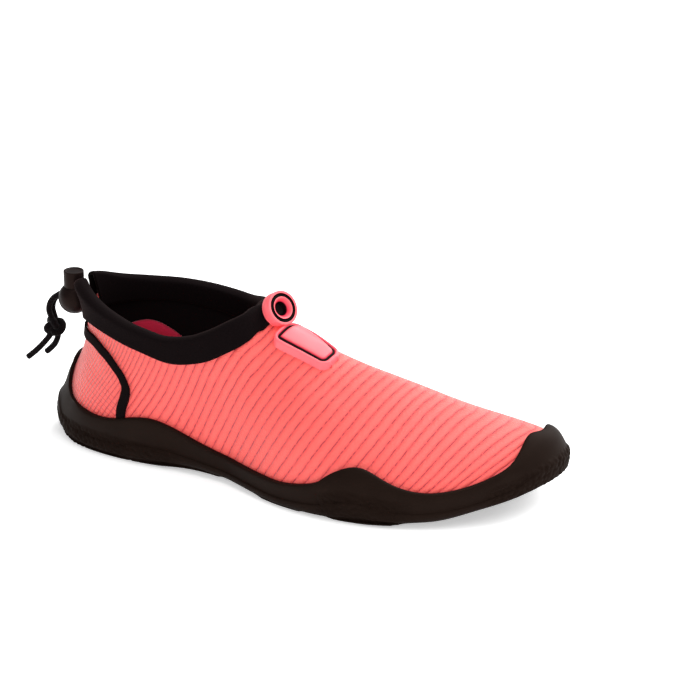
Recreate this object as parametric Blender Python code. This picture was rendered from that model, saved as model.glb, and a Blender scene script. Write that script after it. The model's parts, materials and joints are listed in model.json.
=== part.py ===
"""Water shoe for the right foot: a ribbed stretch upper bonded into a black rubber cup sole.

Metres. +X points to the toe, +Y to the inner side of the foot and +Z up; the floor is z = 0.
The origin is the middle of the shoe's box on the floor.

Every curved piece is read from one surface, the outside of the upper. That surface is a row of
ribs around the foot. Each rib is a cubic curve from its foot, on the outline of the sole, up to its
crown, which lies on the collar edge behind the throat and on the ridge of the instep in front of it.
A turn of 0 is the heel, pi the toe by way of the outer side, and 2 pi the heel again.
"""
import math

import bmesh
import bpy
import numpy as np
from mathutils import Matrix, Vector

# Driving sizes of the last
UPPER_LENGTH = 0.239
BALL_WIDTH = 0.087
HEEL_HEIGHT = 0.0595
INSTEP_HEIGHT = 0.066
TOE_SPRING = 0.014
ARCH_RISE = 0.0015

# Walls and clearances
GAP = 0.0003
CUP_GAP = 0.00045
CLOTH_GAP = 0.0007
LINING_GAP = 0.0008
TAPE_GAP = 0.0006
UPPER_WALL = 0.002
SOLE_FLOOR = 0.0075
CUP_WALL = 0.0026
INSOLE_FLOOR = 0.003
INSOLE_RIM = 0.0014
BINDING_WALL = 0.0016
BINDING_CAP = 0.0026
TAPE_WIDTH = 0.0045
TAPE_WALL = 0.0009

# Tread grooves across the bottom of the sole
GROOVE_WIDTH = 0.0022
GROOVE_DEPTH = 0.0012
GROOVE_PITCH = 0.0085
GROOVE_INSET = 0.010

# Moulded pull on the throat: a short ring on a rounded plate
RING_RADIUS = 0.0078
RING_LENGTH = 0.0052
RING_MOUTH = 0.0047
RING_BORE = 0.0030
RING_YAW = -20.0
RING_PITCH = 30.0
RING_FOOT = -0.0003
PLATE_THICKNESS = 0.0020
PLATE_HEEL_WIDTH = 0.0220
PLATE_TOE_WIDTH = 0.0120
PLATE_LENGTH = 0.0260
PLATE_YAW = -6.0
PANEL_INSET = 0.0022
PANEL_GROOVE = 0.0006

# Cord lock at the back of the collar
LOCK_RADIUS = 0.0075
LOCK_HEIGHT = 0.0618
BUTTON_RADIUS = 0.0047
BUTTON_TOP = 0.0133
BUTTON_FOOT = -0.0010
BUTTON_TRAVEL = 0.0030
BUTTON_CLEARANCE = 0.0002
TUNNEL_HEIGHT = 0.0034
TUNNEL_WIDTH = 0.0064
CORD_DIAMETER = 0.0028
CORD_SPREAD = 0.0032
NOTCH_SHARE = 0.80

# Grid: ribs from heel to toe on one side, closer together around the throat, and levels up a rib
END_RIBS = 12
MIDDLE_RIBS = 16
MIDDLE_START = math.radians(72)
LEVELS = 11
CROSS = 3
CUP_ROWS = 6
RIBS = 2 * END_RIBS + MIDDLE_RIBS
THROAT = RIBS // 2
BAND_START = 2

# Sections of the last. share and top_x are shares of UPPER_LENGTH; lat, med, top_lat, top_med and
# bulge are shares of half BALL_WIDTH; spring is of TOE_SPRING and arch of ARCH_RISE; heel_up is of
# HEEL_HEIGHT, lat_up and med_up of INSTEP_HEIGHT; bulge_up and brow_down are shares of the rib's
# height, brow_out a share of its depth.
SECTION_COLUMNS = (
    "share", "lat", "med", "spring", "arch", "top_x", "top_lat", "top_med",
    "heel_up", "lat_up", "med_up", "bulge", "bulge_up", "brow_out", "brow_down",
)
SECTIONS = (
    (0.00, 0.000, 0.000, 0.00, 0.0, 0.038, 0.000, 0.000, 1.06, 0.000, 0.000, 0.10, 0.34, -1.67, 0.46),
    (0.03, 0.310, 0.310, 0.00, 0.0, 0.054, 0.195, 0.195, 1.05, 0.000, 0.008, 0.10, 0.34, -1.40, 0.45),
    (0.08, 0.494, 0.483, 0.00, 0.0, 0.092, 0.333, 0.333, 0.91, 0.075, 0.110, 0.11, 0.36, -0.50, 0.38),
    (0.15, 0.598, 0.575, 0.00, 0.0, 0.146, 0.448, 0.448, 0.70, 0.210, 0.293, 0.09, 0.38, -0.10, 0.32),
    (0.24, 0.632, 0.586, 0.00, 0.2, 0.222, 0.546, 0.529, 0.45, 0.390, 0.520, 0.08, 0.36, 0.08, 0.30),
    (0.33, 0.609, 0.529, 0.00, 1.0, 0.310, 0.563, 0.517, 0.20, 0.610, 0.735, 0.08, 0.36, 0.12, 0.25),
    (0.38, 0.628, 0.517, 0.00, 1.0, 0.364, 0.517, 0.448, 0.10, 0.775, 0.820, 0.08, 0.36, 0.20, 0.18),
    (0.42, 0.660, 0.517, 0.00, 0.8, 0.397, 0.437, 0.322, 0.04, 0.896, 0.911, 0.08, 0.36, 0.25, 0.14),
    (0.46, 0.740, 0.536, 0.00, 0.5, 0.423, 0.287, 0.149, 0.00, 0.985, 0.985, 0.08, 0.36, 0.30, 0.10),
    (0.50, 0.830, 0.575, 0.00, 0.2, 0.433, 0.080, -0.080, 0.00, 1.005, 1.005, 0.08, 0.36, 0.30, 0.06),
    (0.54, 0.905, 0.632, 0.00, 0.0, 0.473, 0.092, -0.092, 0.00, 0.932, 0.932, 0.08, 0.37, 0.28, 0.04),
    (0.60, 0.970, 0.736, 0.00, 0.0, 0.533, 0.092, -0.092, 0.00, 0.846, 0.846, 0.08, 0.39, 0.27, 0.03),
    (0.66, 0.977, 0.851, 0.00, 0.0, 0.607, 0.069, -0.069, 0.00, 0.754, 0.754, 0.08, 0.40, 0.26, 0.03),
    (0.74, 0.931, 0.943, 0.04, 0.0, 0.707, 0.011, -0.011, 0.00, 0.653, 0.653, 0.08, 0.40, 0.26, 0.03),
    (0.83, 0.759, 0.931, 0.18, 0.0, 0.799, -0.069, 0.069, 0.00, 0.548, 0.548, 0.07, 0.42, 0.26, 0.03),
    (0.92, 0.430, 0.822, 0.56, 0.0, 0.883, -0.149, 0.149, 0.00, 0.463, 0.463, 0.06, 0.45, 0.32, 0.02),
    (1.00, -0.300, 0.300, 1.00, 0.0, 0.941, -0.218, 0.218, 0.00, 0.420, 0.420, 0.03, 0.55, 0.40, 0.00),
)

# Upper edge of the rubber cup on each side, as a share of the rib above its foot
CUP_COLUMNS = ("share", "lat", "med")
CUP_EDGE = (
    (0.00, 0.50, 0.50),
    (0.02, 0.44, 0.44),
    (0.05, 0.26, 0.26),
    (0.09, 0.19, 0.19),
    (0.15, 0.17, 0.17),
    (0.19, 0.21, 0.20),
    (0.23, 0.26, 0.23),
    (0.27, 0.24, 0.22),
    (0.33, 0.13, 0.14),
    (0.40, 0.055, 0.10),
    (0.50, 0.040, 0.10),
    (0.58, 0.065, 0.10),
    (0.63, 0.12, 0.12),
    (0.67, 0.22, 0.17),
    (0.71, 0.27, 0.26),
    (0.75, 0.22, 0.31),
    (0.80, 0.15, 0.24),
    (0.87, 0.12, 0.17),
    (0.93, 0.19, 0.20),
    (0.955, 0.30, 0.32),
    (0.975, 0.56, 0.48),
    (1.00, 0.64, 0.64),
)

# Rim of the insole's heel cup, as a share of the rib above its foot
RIM_EDGE = (
    (0.00, 0.60, 0.60),
    (0.08, 0.56, 0.62),
    (0.15, 0.44, 0.60),
    (0.22, 0.26, 0.48),
    (0.30, 0.14, 0.28),
    (0.40, 0.11, 0.14),
    (0.70, 0.10, 0.10),
    (0.90, 0.12, 0.12),
    (1.00, 0.26, 0.26),
)

# Lower edge of the collar binding: the rib it reaches and the height on that rib
BAND_COLUMNS = ("share", "reach", "low_lat", "low_med")
BAND_EDGE = (
    (0.00, 0.000, 0.80, 0.80),
    (0.03, 0.030, 0.82, 0.82),
    (0.08, 0.080, 0.86, 0.84),
    (0.15, 0.155, 0.86, 0.85),
    (0.24, 0.250, 0.84, 0.84),
    (0.31, 0.328, 0.78, 0.80),
    (0.345, 0.368, 0.745, 0.77),
    (0.383, 0.427, 0.735, 0.75),
    (0.422, 0.480, 0.755, 0.75),
    (0.461, 0.525, 0.815, 0.79),
    (0.50, 0.548, 1.000, 1.000),
)

# Section of the sole's side: height as a share of the side, and how far the skin stands out of the
# upper beyond the gap, as a share of CUP_WALL
SIDE_PROFILE = (
    (0.00, -0.50),
    (0.05, 0.55),
    (0.16, 1.22),
    (0.40, 1.30),
    (0.46, 1.02),
    (0.74, 1.00),
    (0.95, 0.90),
    (1.00, 0.50),
)

# Middle line of a heel tape: rib and height, as shares
TAPE_COLUMNS = ("step", "rib", "height")
TAPE_ROUTE = (
    (0.00, 0.006, 0.735),
    (0.15, 0.040, 0.735),
    (0.30, 0.100, 0.740),
    (0.45, 0.150, 0.665),
    (0.60, 0.186, 0.560),
    (0.72, 0.198, 0.465),
    (0.84, 0.191, 0.355),
    (0.93, 0.184, 0.280),
    (1.00, 0.182, 0.214),
)

# Route of each cord behind the heel, from the middle of the lock: back, sideways and up
STRAND_ROUTE = (
    (-0.0064, 1.0, 0.0002),
    (-0.0092, 1.0, -0.0004),
    (-0.0122, 1.0, -0.0038),
    (-0.0132, 0.95, -0.0080),
    (-0.0120, 0.85, -0.0122),
)
KNOT_PLACE = (-0.0105, 0.0, -0.0165)
KNOT_SIZE = (0.0090, 0.0088, 0.0080)
TAIL_ROUTES = (
    ("cord_tail_lateral", ((-0.0131, -0.0018, -0.0202), (-0.0168, -0.0024, -0.0250),
                           (-0.0206, -0.0030, -0.0290), (-0.0246, -0.0034, -0.0326))),
    ("cord_tail_medial", ((-0.0109, 0.0018, -0.0207), (-0.0126, 0.0022, -0.0250),
                          (-0.0152, 0.0024, -0.0282), (-0.0180, 0.0024, -0.0308))),
)


def turn_of(share):
    """Turn of the rib whose foot lies at this share of the length, on the outer side."""
    return np.arccos(np.clip(1 - 2 * np.asarray(share, float), -1, 1))


def column(rows, names, name, turn, first=None, last=None):
    """One column of a table, read by a smooth curve at these turns from heel to toe."""
    knots = turn_of([row[0] for row in rows])
    values = np.array([row[names.index(name)] for row in rows], float)
    steps = np.diff(knots)
    slopes = np.diff(values) / steps
    tangents = np.zeros_like(values)
    tangents[1:-1] = (slopes[1:] * steps[:-1] + slopes[:-1] * steps[1:]) / (steps[1:] + steps[:-1])
    tangents[0] = 0.0 if first is None else first
    tangents[-1] = 0.0 if last is None else last
    turn = np.clip(turn, knots[0], knots[-1])
    k = np.clip(np.searchsorted(knots, turn, side="right") - 1, 0, len(steps) - 1)
    h = steps[k]
    u = (turn - knots[k]) / h
    return (
        (2 * u**3 - 3 * u**2 + 1) * values[k]
        + (u**3 - 2 * u**2 + u) * h * tangents[k]
        + (3 * u**2 - 2 * u**3) * values[k + 1]
        + (u**3 - u**2) * h * tangents[k + 1]
    )


def end_slope(first_row, second_row, names):
    """Mean slope of these columns between two rows, so that both sides leave a tip in one line."""
    step = turn_of(second_row[0]) - turn_of(first_row[0])
    return float(np.mean([(second_row[SECTION_COLUMNS.index(n)] - first_row[SECTION_COLUMNS.index(n)]) / step
                          for n in names]))


def folded(turn):
    """Turn from heel to toe, and whether the rib is on the outer side."""
    turn = np.asarray(turn, float) % (2 * math.pi)
    outer = turn <= math.pi
    return np.where(outer, turn, 2 * math.pi - turn), outer


def section(turn):
    """Every column of the section table at these turns, with lat and med joined by side."""
    half, outer = folded(turn)
    heel = end_slope(SECTIONS[0], SECTIONS[1], ("lat", "med"))
    toe = 1.15 * end_slope(SECTIONS[-2], SECTIONS[-1], ("lat", "med"))
    crown = end_slope(SECTIONS[0], SECTIONS[1], ("top_lat", "top_med"))
    values = {name: column(SECTIONS, SECTION_COLUMNS, name, half) for name in SECTION_COLUMNS[3:]}
    for name in ("lat", "med"):
        values[name] = column(SECTIONS, SECTION_COLUMNS, name, half, heel, toe)
    for name in ("top_lat", "top_med"):
        values[name] = column(SECTIONS, SECTION_COLUMNS, name, half, crown, 0.0)
    side = np.where(outer, -1.0, 1.0)
    ridge = (values["top_med"] - values["top_lat"]) / 2
    in_front = half >= turn_of(0.5) - 1e-6
    values["y"] = side * np.where(outer, values["lat"], values["med"])
    top_y = side * np.where(outer, values["top_lat"], values["top_med"])
    values["top_y"] = np.where(in_front, ridge, top_y)
    mean_up = (values["lat_up"] + values["med_up"]) / 2
    values["up"] = np.where(in_front, mean_up, np.where(outer, values["lat_up"], values["med_up"]))
    values["x"] = (1 - np.cos(half)) / 2
    return values


def ground(turn):
    """Height of the sole's bottom at these turns."""
    values = section(turn)
    return np.maximum(values["spring"], 0) * TOE_SPRING + np.maximum(values["arch"], 0) * ARCH_RISE


def rib(turn):
    """Foot, two handles and crown of the ribs at these turns."""
    v = section(turn)
    half_width = BALL_WIDTH / 2
    seat = SOLE_FLOOR + GAP
    foot = np.stack([v["x"] * UPPER_LENGTH, v["y"] * half_width, ground(turn) + seat], -1)
    height = seat + v["heel_up"] * HEEL_HEIGHT + v["up"] * INSTEP_HEIGHT
    crown = np.stack([v["top_x"] * UPPER_LENGTH, v["top_y"] * half_width, height], -1)
    rise = crown[..., 2] - foot[..., 2]
    flat = (crown - foot) * (1, 1, 0)
    depth = np.linalg.norm(flat, axis=-1)
    inward = flat / np.maximum(depth, 1e-9)[..., None]
    low = foot - inward * (v["bulge"] * half_width)[..., None]
    low[..., 2] += rise * v["bulge_up"]
    high = crown - inward * (depth * v["brow_out"])[..., None]
    high[..., 2] -= rise * v["brow_down"]
    return foot, low, high, crown


def bare_skin(turn, height):
    """Points of the upper's outside at these turns and shares of the rib's height."""
    foot, low, high, crown = rib(turn)
    u = height[..., None]
    return (1 - u)**3 * foot + 3 * (1 - u)**2 * u * low + 3 * (1 - u) * u**2 * high + u**3 * crown


def skin(turn, height, off=0.0):
    """Points that stand off the upper's outside by this distance, outwards where it is positive."""
    turn, height, off = np.broadcast_arrays(*(np.asarray(a, float) for a in (turn, height, off)))
    step = 1e-3
    along = bare_skin(turn + step, height) - bare_skin(turn - step, height)
    up = bare_skin(turn, height + step) - bare_skin(turn, height - step)
    normal = np.cross(along, up)
    normal /= np.maximum(np.linalg.norm(normal, axis=-1), 1e-12)[..., None]
    return bare_skin(turn, height) + normal * off[..., None]


def ridge_skin(turn, off=0.0):
    """Points off the ridge of the instep, midway between what the two sides give."""
    turn = np.asarray(turn, float)
    one = np.ones_like(turn)
    return (skin(turn, one, off) + skin(2 * math.pi - turn, one, off)) / 2


def two_sided(rows, names, turn, outer_name="lat", inner_name="med"):
    """A table's outer or inner column, by the side that each turn is on."""
    half, outer = folded(turn)
    return np.where(outer, column(rows, names, outer_name, half), column(rows, names, inner_name, half))


def side_point(turn, share, off):
    """Points up the sole's side, from the ground to the edge of the cup."""
    edge = two_sided(CUP_EDGE, CUP_COLUMNS, turn)
    foot = bare_skin(turn, 0 * edge)
    below = SOLE_FLOOR + GAP
    above = np.linalg.norm(bare_skin(turn, edge) - foot, axis=-1)
    reach = share * (below + above)
    low = skin(turn, 0 * edge, off)
    level = ground(turn)
    low[..., 2] = level + (low[..., 2] - level) * np.minimum(reach / below, 1)
    high = skin(turn, edge * np.clip((reach - below) / above, 0, 1), off)
    return np.where((reach < below)[..., None], low, high)


def rib_turns():
    """Turns of all ribs, once around the foot."""
    ends = np.linspace(0, MIDDLE_START, END_RIBS + 1)
    middle = np.linspace(MIDDLE_START, math.pi - MIDDLE_START, MIDDLE_RIBS + 1)
    half = np.concatenate([ends, middle[1:], math.pi - ends[-2::-1]])
    return np.concatenate([half, 2 * math.pi - half[-2:0:-1]])


RING_TURNS = rib_turns()


def box_middle():
    """Middle of the sole's outline, which becomes the origin."""
    fine = np.linspace(0, 2 * math.pi, 361)
    rows = [side_point(fine, share, CUP_GAP + CUP_WALL * out) for share, out in SIDE_PROFILE]
    points = np.concatenate(rows)
    low, high = points.min(axis=0), points.max(axis=0)
    return np.array([(low[0] + high[0]) / 2, (low[1] + high[1]) / 2, 0.0])


MIDDLE = box_middle()


def material(name, colour, roughness, metallic=0.0):
    made = bpy.data.materials.new(name)
    made.use_nodes = True
    shader = made.node_tree.nodes["Principled BSDF"]
    shader.inputs["Base Color"].default_value = (*colour, 1.0)
    shader.inputs["Roughness"].default_value = roughness
    shader.inputs["Metallic"].default_value = metallic
    made.diffuse_color = (*colour, 1.0)
    return made


def mesh_object(name, points, faces, look, place=True):
    """A closed mesh from points in the last's own frame, with its faces turned outwards."""
    mesh = bpy.data.meshes.new(name)
    mesh.from_pydata([tuple(p - MIDDLE if place else p) for p in points], [], faces)
    work = bmesh.new()
    work.from_mesh(mesh)
    bmesh.ops.recalc_face_normals(work, faces=work.faces[:])
    bmesh.ops.triangulate(work, faces=work.faces[:], quad_method="BEAUTY")
    work.to_mesh(mesh)
    work.free()
    mesh.shade_smooth()
    mesh.set_sharp_from_angle(angle=math.radians(40))
    mesh.materials.append(look)
    made = bpy.data.objects.new(name, mesh)
    bpy.context.scene.collection.objects.link(made)
    return made


class Skin:
    """Points and faces of a solid whose walls are rings of ribs."""

    def __init__(self):
        self.points = []
        self.faces = []

    def add(self, points):
        start = len(self.points)
        self.points.extend(np.asarray(points).reshape(-1, 3))
        return list(range(start, len(self.points)))

    def band(self, one, other, closed=True):
        """Quads between two rings of equal length."""
        count = len(one) if closed else len(one) - 1
        for i in range(count):
            j = (i + 1) % len(one)
            corners = []
            for corner in (one[i], one[j], other[j], other[i]):
                if corner not in corners:
                    corners.append(corner)
            if len(corners) > 2:
                self.faces.append(corners)

    def ladder(self, ring):
        """Fill a ring around the foot with strips across it from the outer to the inner side."""
        rows = [[ring[0]]]
        for k in range(1, RIBS):
            ends = self.points[ring[k]], self.points[ring[-k]]
            shares = np.arange(1, CROSS)[:, None] / CROSS
            between = self.add(ends[0] + shares * (ends[1] - ends[0]))
            rows.append([ring[k], *between, ring[-k]])
        rows.append([ring[RIBS]])
        for row, following in zip(rows, rows[1:]):
            if len(row) == 1 or len(following) == 1:
                tip, edge = (row[0], following) if len(row) == 1 else (following[0], row)
                self.faces.extend([tip, a, b] for a, b in zip(edge, edge[1:]))
            else:
                self.band(row, following, closed=False)


def cup_solid(name, outside, inside, look):
    """A tray: rings up its outside, down its inside, and a floor and a bottom across."""
    body = Skin()
    rings = [body.add(ring) for ring in (*outside, *inside)]
    for ring, following in zip(rings, rings[1:]):
        body.band(ring, following)
    body.ladder(rings[0])
    body.ladder(rings[-1])
    return mesh_object(name, body.points, body.faces, look)


def at_height(points, height):
    """The same points, set level at this height."""
    moved = np.array(points)
    moved[..., 2] = height
    return moved


def cut_by(target, cutter):
    """Take the cutter's shape out of the target."""
    cutter.hide_render = True
    cutter.display_type = "WIRE"
    change = target.modifiers.new("cut_" + cutter.name, "BOOLEAN")
    change.operation = "DIFFERENCE"
    change.solver = "EXACT"
    change.object = cutter


def join_with(target, extra):
    """Fuse the extra shape into the target."""
    extra.hide_render = True
    extra.display_type = "WIRE"
    change = target.modifiers.new("join_" + extra.name, "BOOLEAN")
    change.operation = "UNION"
    change.solver = "EXACT"
    change.object = extra


def block(name, low, high, look):
    """A box between two corners, in the shoe's frame."""
    corners = [Vector((x, y, z))
               for z in (low[2], high[2]) for y in (low[1], high[1]) for x in (low[0], high[0])]
    faces = [(0, 1, 3, 2), (4, 5, 7, 6), (0, 1, 5, 4), (2, 3, 7, 6), (0, 2, 6, 4), (1, 3, 7, 5)]
    return mesh_object(name, corners, faces, look, place=False)


def turned(name, profile, look, place, sides=24):
    """A closed solid of revolution about +Z from (radius, height) pairs, moved by a matrix."""
    work = bmesh.new()
    ends = [work.verts.new((0, 0, profile[0][1])), work.verts.new((0, 0, profile[-1][1]))]
    rings = []
    for radius, height in profile:
        angles = [2 * math.pi * i / sides for i in range(sides)]
        rings.append([work.verts.new((radius * math.cos(a), radius * math.sin(a), height)) for a in angles])
    for i in range(sides):
        j = (i + 1) % sides
        work.faces.new((ends[0], rings[0][j], rings[0][i]))
        work.faces.new((ends[1], rings[-1][i], rings[-1][j]))
        for lower, upper in zip(rings, rings[1:]):
            work.faces.new((lower[i], lower[j], upper[j], upper[i]))
    bmesh.ops.recalc_face_normals(work, faces=work.faces[:])
    mesh = bpy.data.meshes.new(name)
    work.to_mesh(mesh)
    work.free()
    mesh.shade_smooth()
    mesh.set_sharp_from_angle(angle=math.radians(40))
    mesh.materials.append(look)
    made = bpy.data.objects.new(name, mesh)
    made.matrix_world = place
    bpy.context.scene.collection.objects.link(made)
    return made


def make_outsole(look):
    outside = [side_point(RING_TURNS, share, CUP_GAP + CUP_WALL * out) for share, out in SIDE_PROFILE]
    outside[0][:, 2] = ground(RING_TURNS)
    edge = two_sided(CUP_EDGE, CUP_COLUMNS, RING_TURNS)
    inside = [skin(RING_TURNS, edge * share, CUP_GAP) for share in np.linspace(1, 0, CUP_ROWS)]
    inside.append(at_height(inside[-1], ground(RING_TURNS) + SOLE_FLOOR))
    sole = cup_solid("outsole", outside, inside, look)
    for index, (x, low, high) in enumerate(groove_places()):
        half = GROOVE_WIDTH / 2
        bar = block(f"groove_{index}", (x - half, low, -0.002), (x + half, high, GROOVE_DEPTH), look)
        cut_by(sole, bar)
    return sole


def groove_places():
    """Place and ends of each tread groove under the heel and the ball, in the shoe's frame."""
    shares = np.linspace(0, 1, 241)
    outline = {side: bare_skin(turn, 0 * shares) for side, turn in
               (("lat", turn_of(shares)), ("med", 2 * math.pi - turn_of(shares)))}
    places = []
    for start, stop in ((0.08, 0.26), (0.55, 0.75)):
        count = int((stop - start) * UPPER_LENGTH / GROOVE_PITCH) + 1
        for i in range(count):
            x = start * UPPER_LENGTH + i * GROOVE_PITCH
            low = np.interp(x, outline["lat"][:, 0], outline["lat"][:, 1]) + GROOVE_INSET
            high = np.interp(x, outline["med"][:, 0], outline["med"][:, 1]) - GROOVE_INSET
            places.append((x - MIDDLE[0], low - MIDDLE[1], high - MIDDLE[1]))
    return places


def make_insole(look):
    seat = ground(RING_TURNS) + SOLE_FLOOR + GAP
    wall = -(UPPER_WALL + GAP)
    rim = two_sided(RIM_EDGE, CUP_COLUMNS, RING_TURNS)
    foot = at_height(skin(RING_TURNS, 0.02, wall), seat)
    outside = [foot, skin(RING_TURNS, 0.04, wall), skin(RING_TURNS, rim, wall)]
    inside = [skin(RING_TURNS, rim, wall - INSOLE_RIM)]
    inside.append(at_height(skin(RING_TURNS, 0.06, wall - INSOLE_RIM), seat + INSOLE_FLOOR))
    return cup_solid("insole", outside, inside, look)


def crown_share(turn):
    """How far up each rib the cloth goes: a notch at the back lets the drawcord out."""
    half, _ = folded(turn)
    return np.where(half < RING_TURNS[BAND_START] + 1e-6, NOTCH_SHARE, 1.0)


def make_upper(look):
    body = Skin()
    shares = np.arange(LEVELS + 1) / LEVELS
    heights = crown_share(RING_TURNS)[:, None] * shares
    walls = []
    for off in (0.0, -UPPER_WALL):
        grid = skin(RING_TURNS[:, None], heights, off)
        grid[THROAT:RIBS + 1, -1] = ridge_skin(RING_TURNS[THROAT:RIBS + 1], off)
        rings = [body.add(grid[:, level]) for level in range(LEVELS)]
        crown = body.add(grid[:RIBS + 1, -1])
        behind = body.add(grid[2 * RIBS - THROAT + 1:, -1])
        ridge = [crown[2 * RIBS - i] for i in range(RIBS + 1, 2 * RIBS - THROAT + 1)]
        rings.append(crown + ridge + behind)
        walls.append((rings, crown[:THROAT + 1] + behind))
        for ring, following in zip(rings, rings[1:]):
            body.band(ring, following)
    (outer, outer_collar), (inner, inner_collar) = walls
    body.band(outer[0], inner[0])
    body.band(outer_collar, inner_collar)
    return mesh_object("upper", body.points, body.faces, look)


def band_path(turn, depth, off):
    """Points of the collar binding's face, from the collar edge (0) to its lower edge (1)."""
    half, outer = folded(turn)
    reach = turn_of(column(BAND_EDGE, BAND_COLUMNS, "reach", half))
    low = two_sided(BAND_EDGE, BAND_COLUMNS, turn, "low_lat", "low_med")
    at = half + depth * (reach - half)
    signed = np.where(outer, at, 2 * math.pi - at)
    points = skin(signed, 1 + depth * (low - 1), off)
    front = np.abs(half - math.pi / 2) < 1e-6
    mirrored = skin(2 * math.pi - signed, 1 + depth * (low - 1), off)
    return np.where(front[..., None], (points + mirrored) / 2, points)


def make_binding(look):
    """A strip folded over the collar edge, open at the back where the cords leave it."""
    outer_side = RING_TURNS[BAND_START:THROAT + 1]
    inner_side = RING_TURNS[2 * RIBS - THROAT + 1:-BAND_START + 1]
    turns = np.concatenate([outer_side, inner_side])
    edge = band_path(turns, 0.0, 0.0)
    outward = band_path(turns, 0.0, 0.001) - edge
    outward /= np.linalg.norm(outward, axis=-1)[:, None]
    upward = np.cross(np.gradient(edge, axis=0), outward)
    upward *= np.sign((upward * (edge - band_path(turns, 0.5, 0.0))).sum(axis=-1))[:, None]
    upward /= np.linalg.norm(upward, axis=-1)[:, None]
    face = CLOTH_GAP + BINDING_WALL
    lining = -(UPPER_WALL + LINING_GAP)
    middle = -UPPER_WALL / 2
    reach = face - middle

    def over(angle):
        side = middle + reach * math.cos(math.radians(angle))
        return edge + outward * side + upward * BINDING_CAP * math.sin(math.radians(angle))

    rows = [band_path(turns, depth, face) for depth in (1.0, 0.67, 0.33, 0.0)]
    rows += [over(angle) for angle in (40, 90, 140)]
    rows += [band_path(turns, depth, lining - BINDING_WALL) for depth in (0.0, 0.45, 0.9)]
    rows += [band_path(turns, depth, lining) for depth in (0.9, 0.6, 0.3, 0.0)]
    rows += [edge + outward * lining + upward * CLOTH_GAP, edge + outward * CLOTH_GAP + upward * CLOTH_GAP]
    rows += [band_path(turns, depth, CLOTH_GAP) for depth in (0.0, 0.2, 0.4, 0.6, 0.8, 1.0)]
    body = Skin()
    strips = [body.add(row) for row in rows]
    for strip, following in zip(strips, strips[1:] + strips[:1]):
        body.band(strip, following, closed=False)
    for end in (0, -1):
        body.faces.append([strip[end] for strip in strips])
    return mesh_object("collar_binding", body.points, body.faces, look)


def make_tape(name, side, look):
    """A narrow tape that follows the heel seam on one side of the upper."""
    steps = np.linspace(0, 1, 19)
    knots = np.array([row[0] for row in TAPE_ROUTE])
    fine = np.linspace(0, 1, 181)
    width = 13
    kernel = np.ones(width) / width

    def smooth(name_of):
        values = np.interp(fine, knots, [row[TAPE_COLUMNS.index(name_of)] for row in TAPE_ROUTE])
        padded = np.concatenate([np.repeat(values[0], width // 2), values, np.repeat(values[-1], width // 2)])
        return np.interp(steps, fine, np.convolve(padded, kernel, mode="valid"))

    turn = turn_of(smooth("rib"))
    height = smooth("height")
    turn = turn if side < 0 else 2 * math.pi - turn
    centre = bare_skin(turn, height)
    nudge = 1e-3
    around = (bare_skin(turn + nudge, height) - centre) / nudge
    upward = (bare_skin(turn, height + nudge) - centre) / nudge
    ahead = np.gradient(centre, axis=0)
    ahead /= np.linalg.norm(ahead, axis=-1)[:, None]
    normal = np.cross(around, upward)
    normal /= np.linalg.norm(normal, axis=-1)[:, None]
    across = np.cross(normal, ahead)
    body = Skin()
    rows = []
    for off, shares in ((TAPE_GAP, (-0.5, 0.0, 0.5)), (TAPE_GAP + TAPE_WALL, (0.46, 0.0, -0.46))):
        for share in shares:
            shift = across * share * TAPE_WIDTH
            more_turn = (shift * around).sum(axis=1) / (around**2).sum(axis=1)
            more_height = (shift * upward).sum(axis=1) / (upward**2).sum(axis=1)
            rows.append(body.add(skin(turn + more_turn, height + more_height, off)))
    for row, following in zip(rows, rows[1:] + rows[:1]):
        body.band(row, following, closed=False)
    for end in (0, -1):
        body.faces.append([row[end] for row in rows])
    return mesh_object(name, body.points, body.faces, look)


RIDGE_TURNS = np.linspace(math.pi / 2, math.pi, 200)
RIDGE = ridge_skin(RIDGE_TURNS)


def vamp_point(x, y, off):
    """Point off the instep above this place of the last's frame, found by stepping towards it."""
    ridge_y = np.interp(x, RIDGE[:, 0], RIDGE[:, 1])
    start = float(np.interp(x, RIDGE[:, 0], RIDGE_TURNS))
    if abs(y - ridge_y) < 2e-4:
        return ridge_skin(np.array(start), off)
    outer = y < ridge_y
    guess = np.array([start, 0.9])
    for _ in range(7):
        turn = guess[0] if outer else 2 * math.pi - guess[0]
        here = bare_skin(np.array(turn), np.array(guess[1]))[:2]
        nudge = 1e-4
        next_turn = turn + nudge if outer else turn - nudge
        by_turn = (bare_skin(np.array(next_turn), np.array(guess[1]))[:2] - here) / nudge
        by_height = (bare_skin(np.array(turn), np.array(guess[1] + nudge))[:2] - here) / nudge
        guess = guess + np.linalg.solve(np.stack([by_turn, by_height], -1), np.array([x, y]) - here)
    turn = guess[0] if outer else 2 * math.pi - guess[0]
    return skin(np.array(turn), np.array(guess[1]), off)


def rounded_plan(share_along, share_across, heel_half, toe_half, length, corner):
    """Place in the plate's plan: along it, and across between its rounded ends."""
    along = share_along * length
    half = heel_half + (toe_half - heel_half) * share_along
    to_end = min(along, length - along)
    if to_end < corner:
        half = half - corner + math.sqrt(max(corner**2 - (corner - to_end)**2, 0))
    return along, share_across * half


def on_pull(along, across, off):
    """Point off the instep at a place of the pull's own plan, which is turned outwards."""
    yaw = math.radians(PLATE_YAW)
    x = PLATE_START + along * math.cos(yaw) - across * math.sin(yaw)
    return vamp_point(x, PLATE_MIDDLE + along * math.sin(yaw) + across * math.cos(yaw), off)


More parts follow.
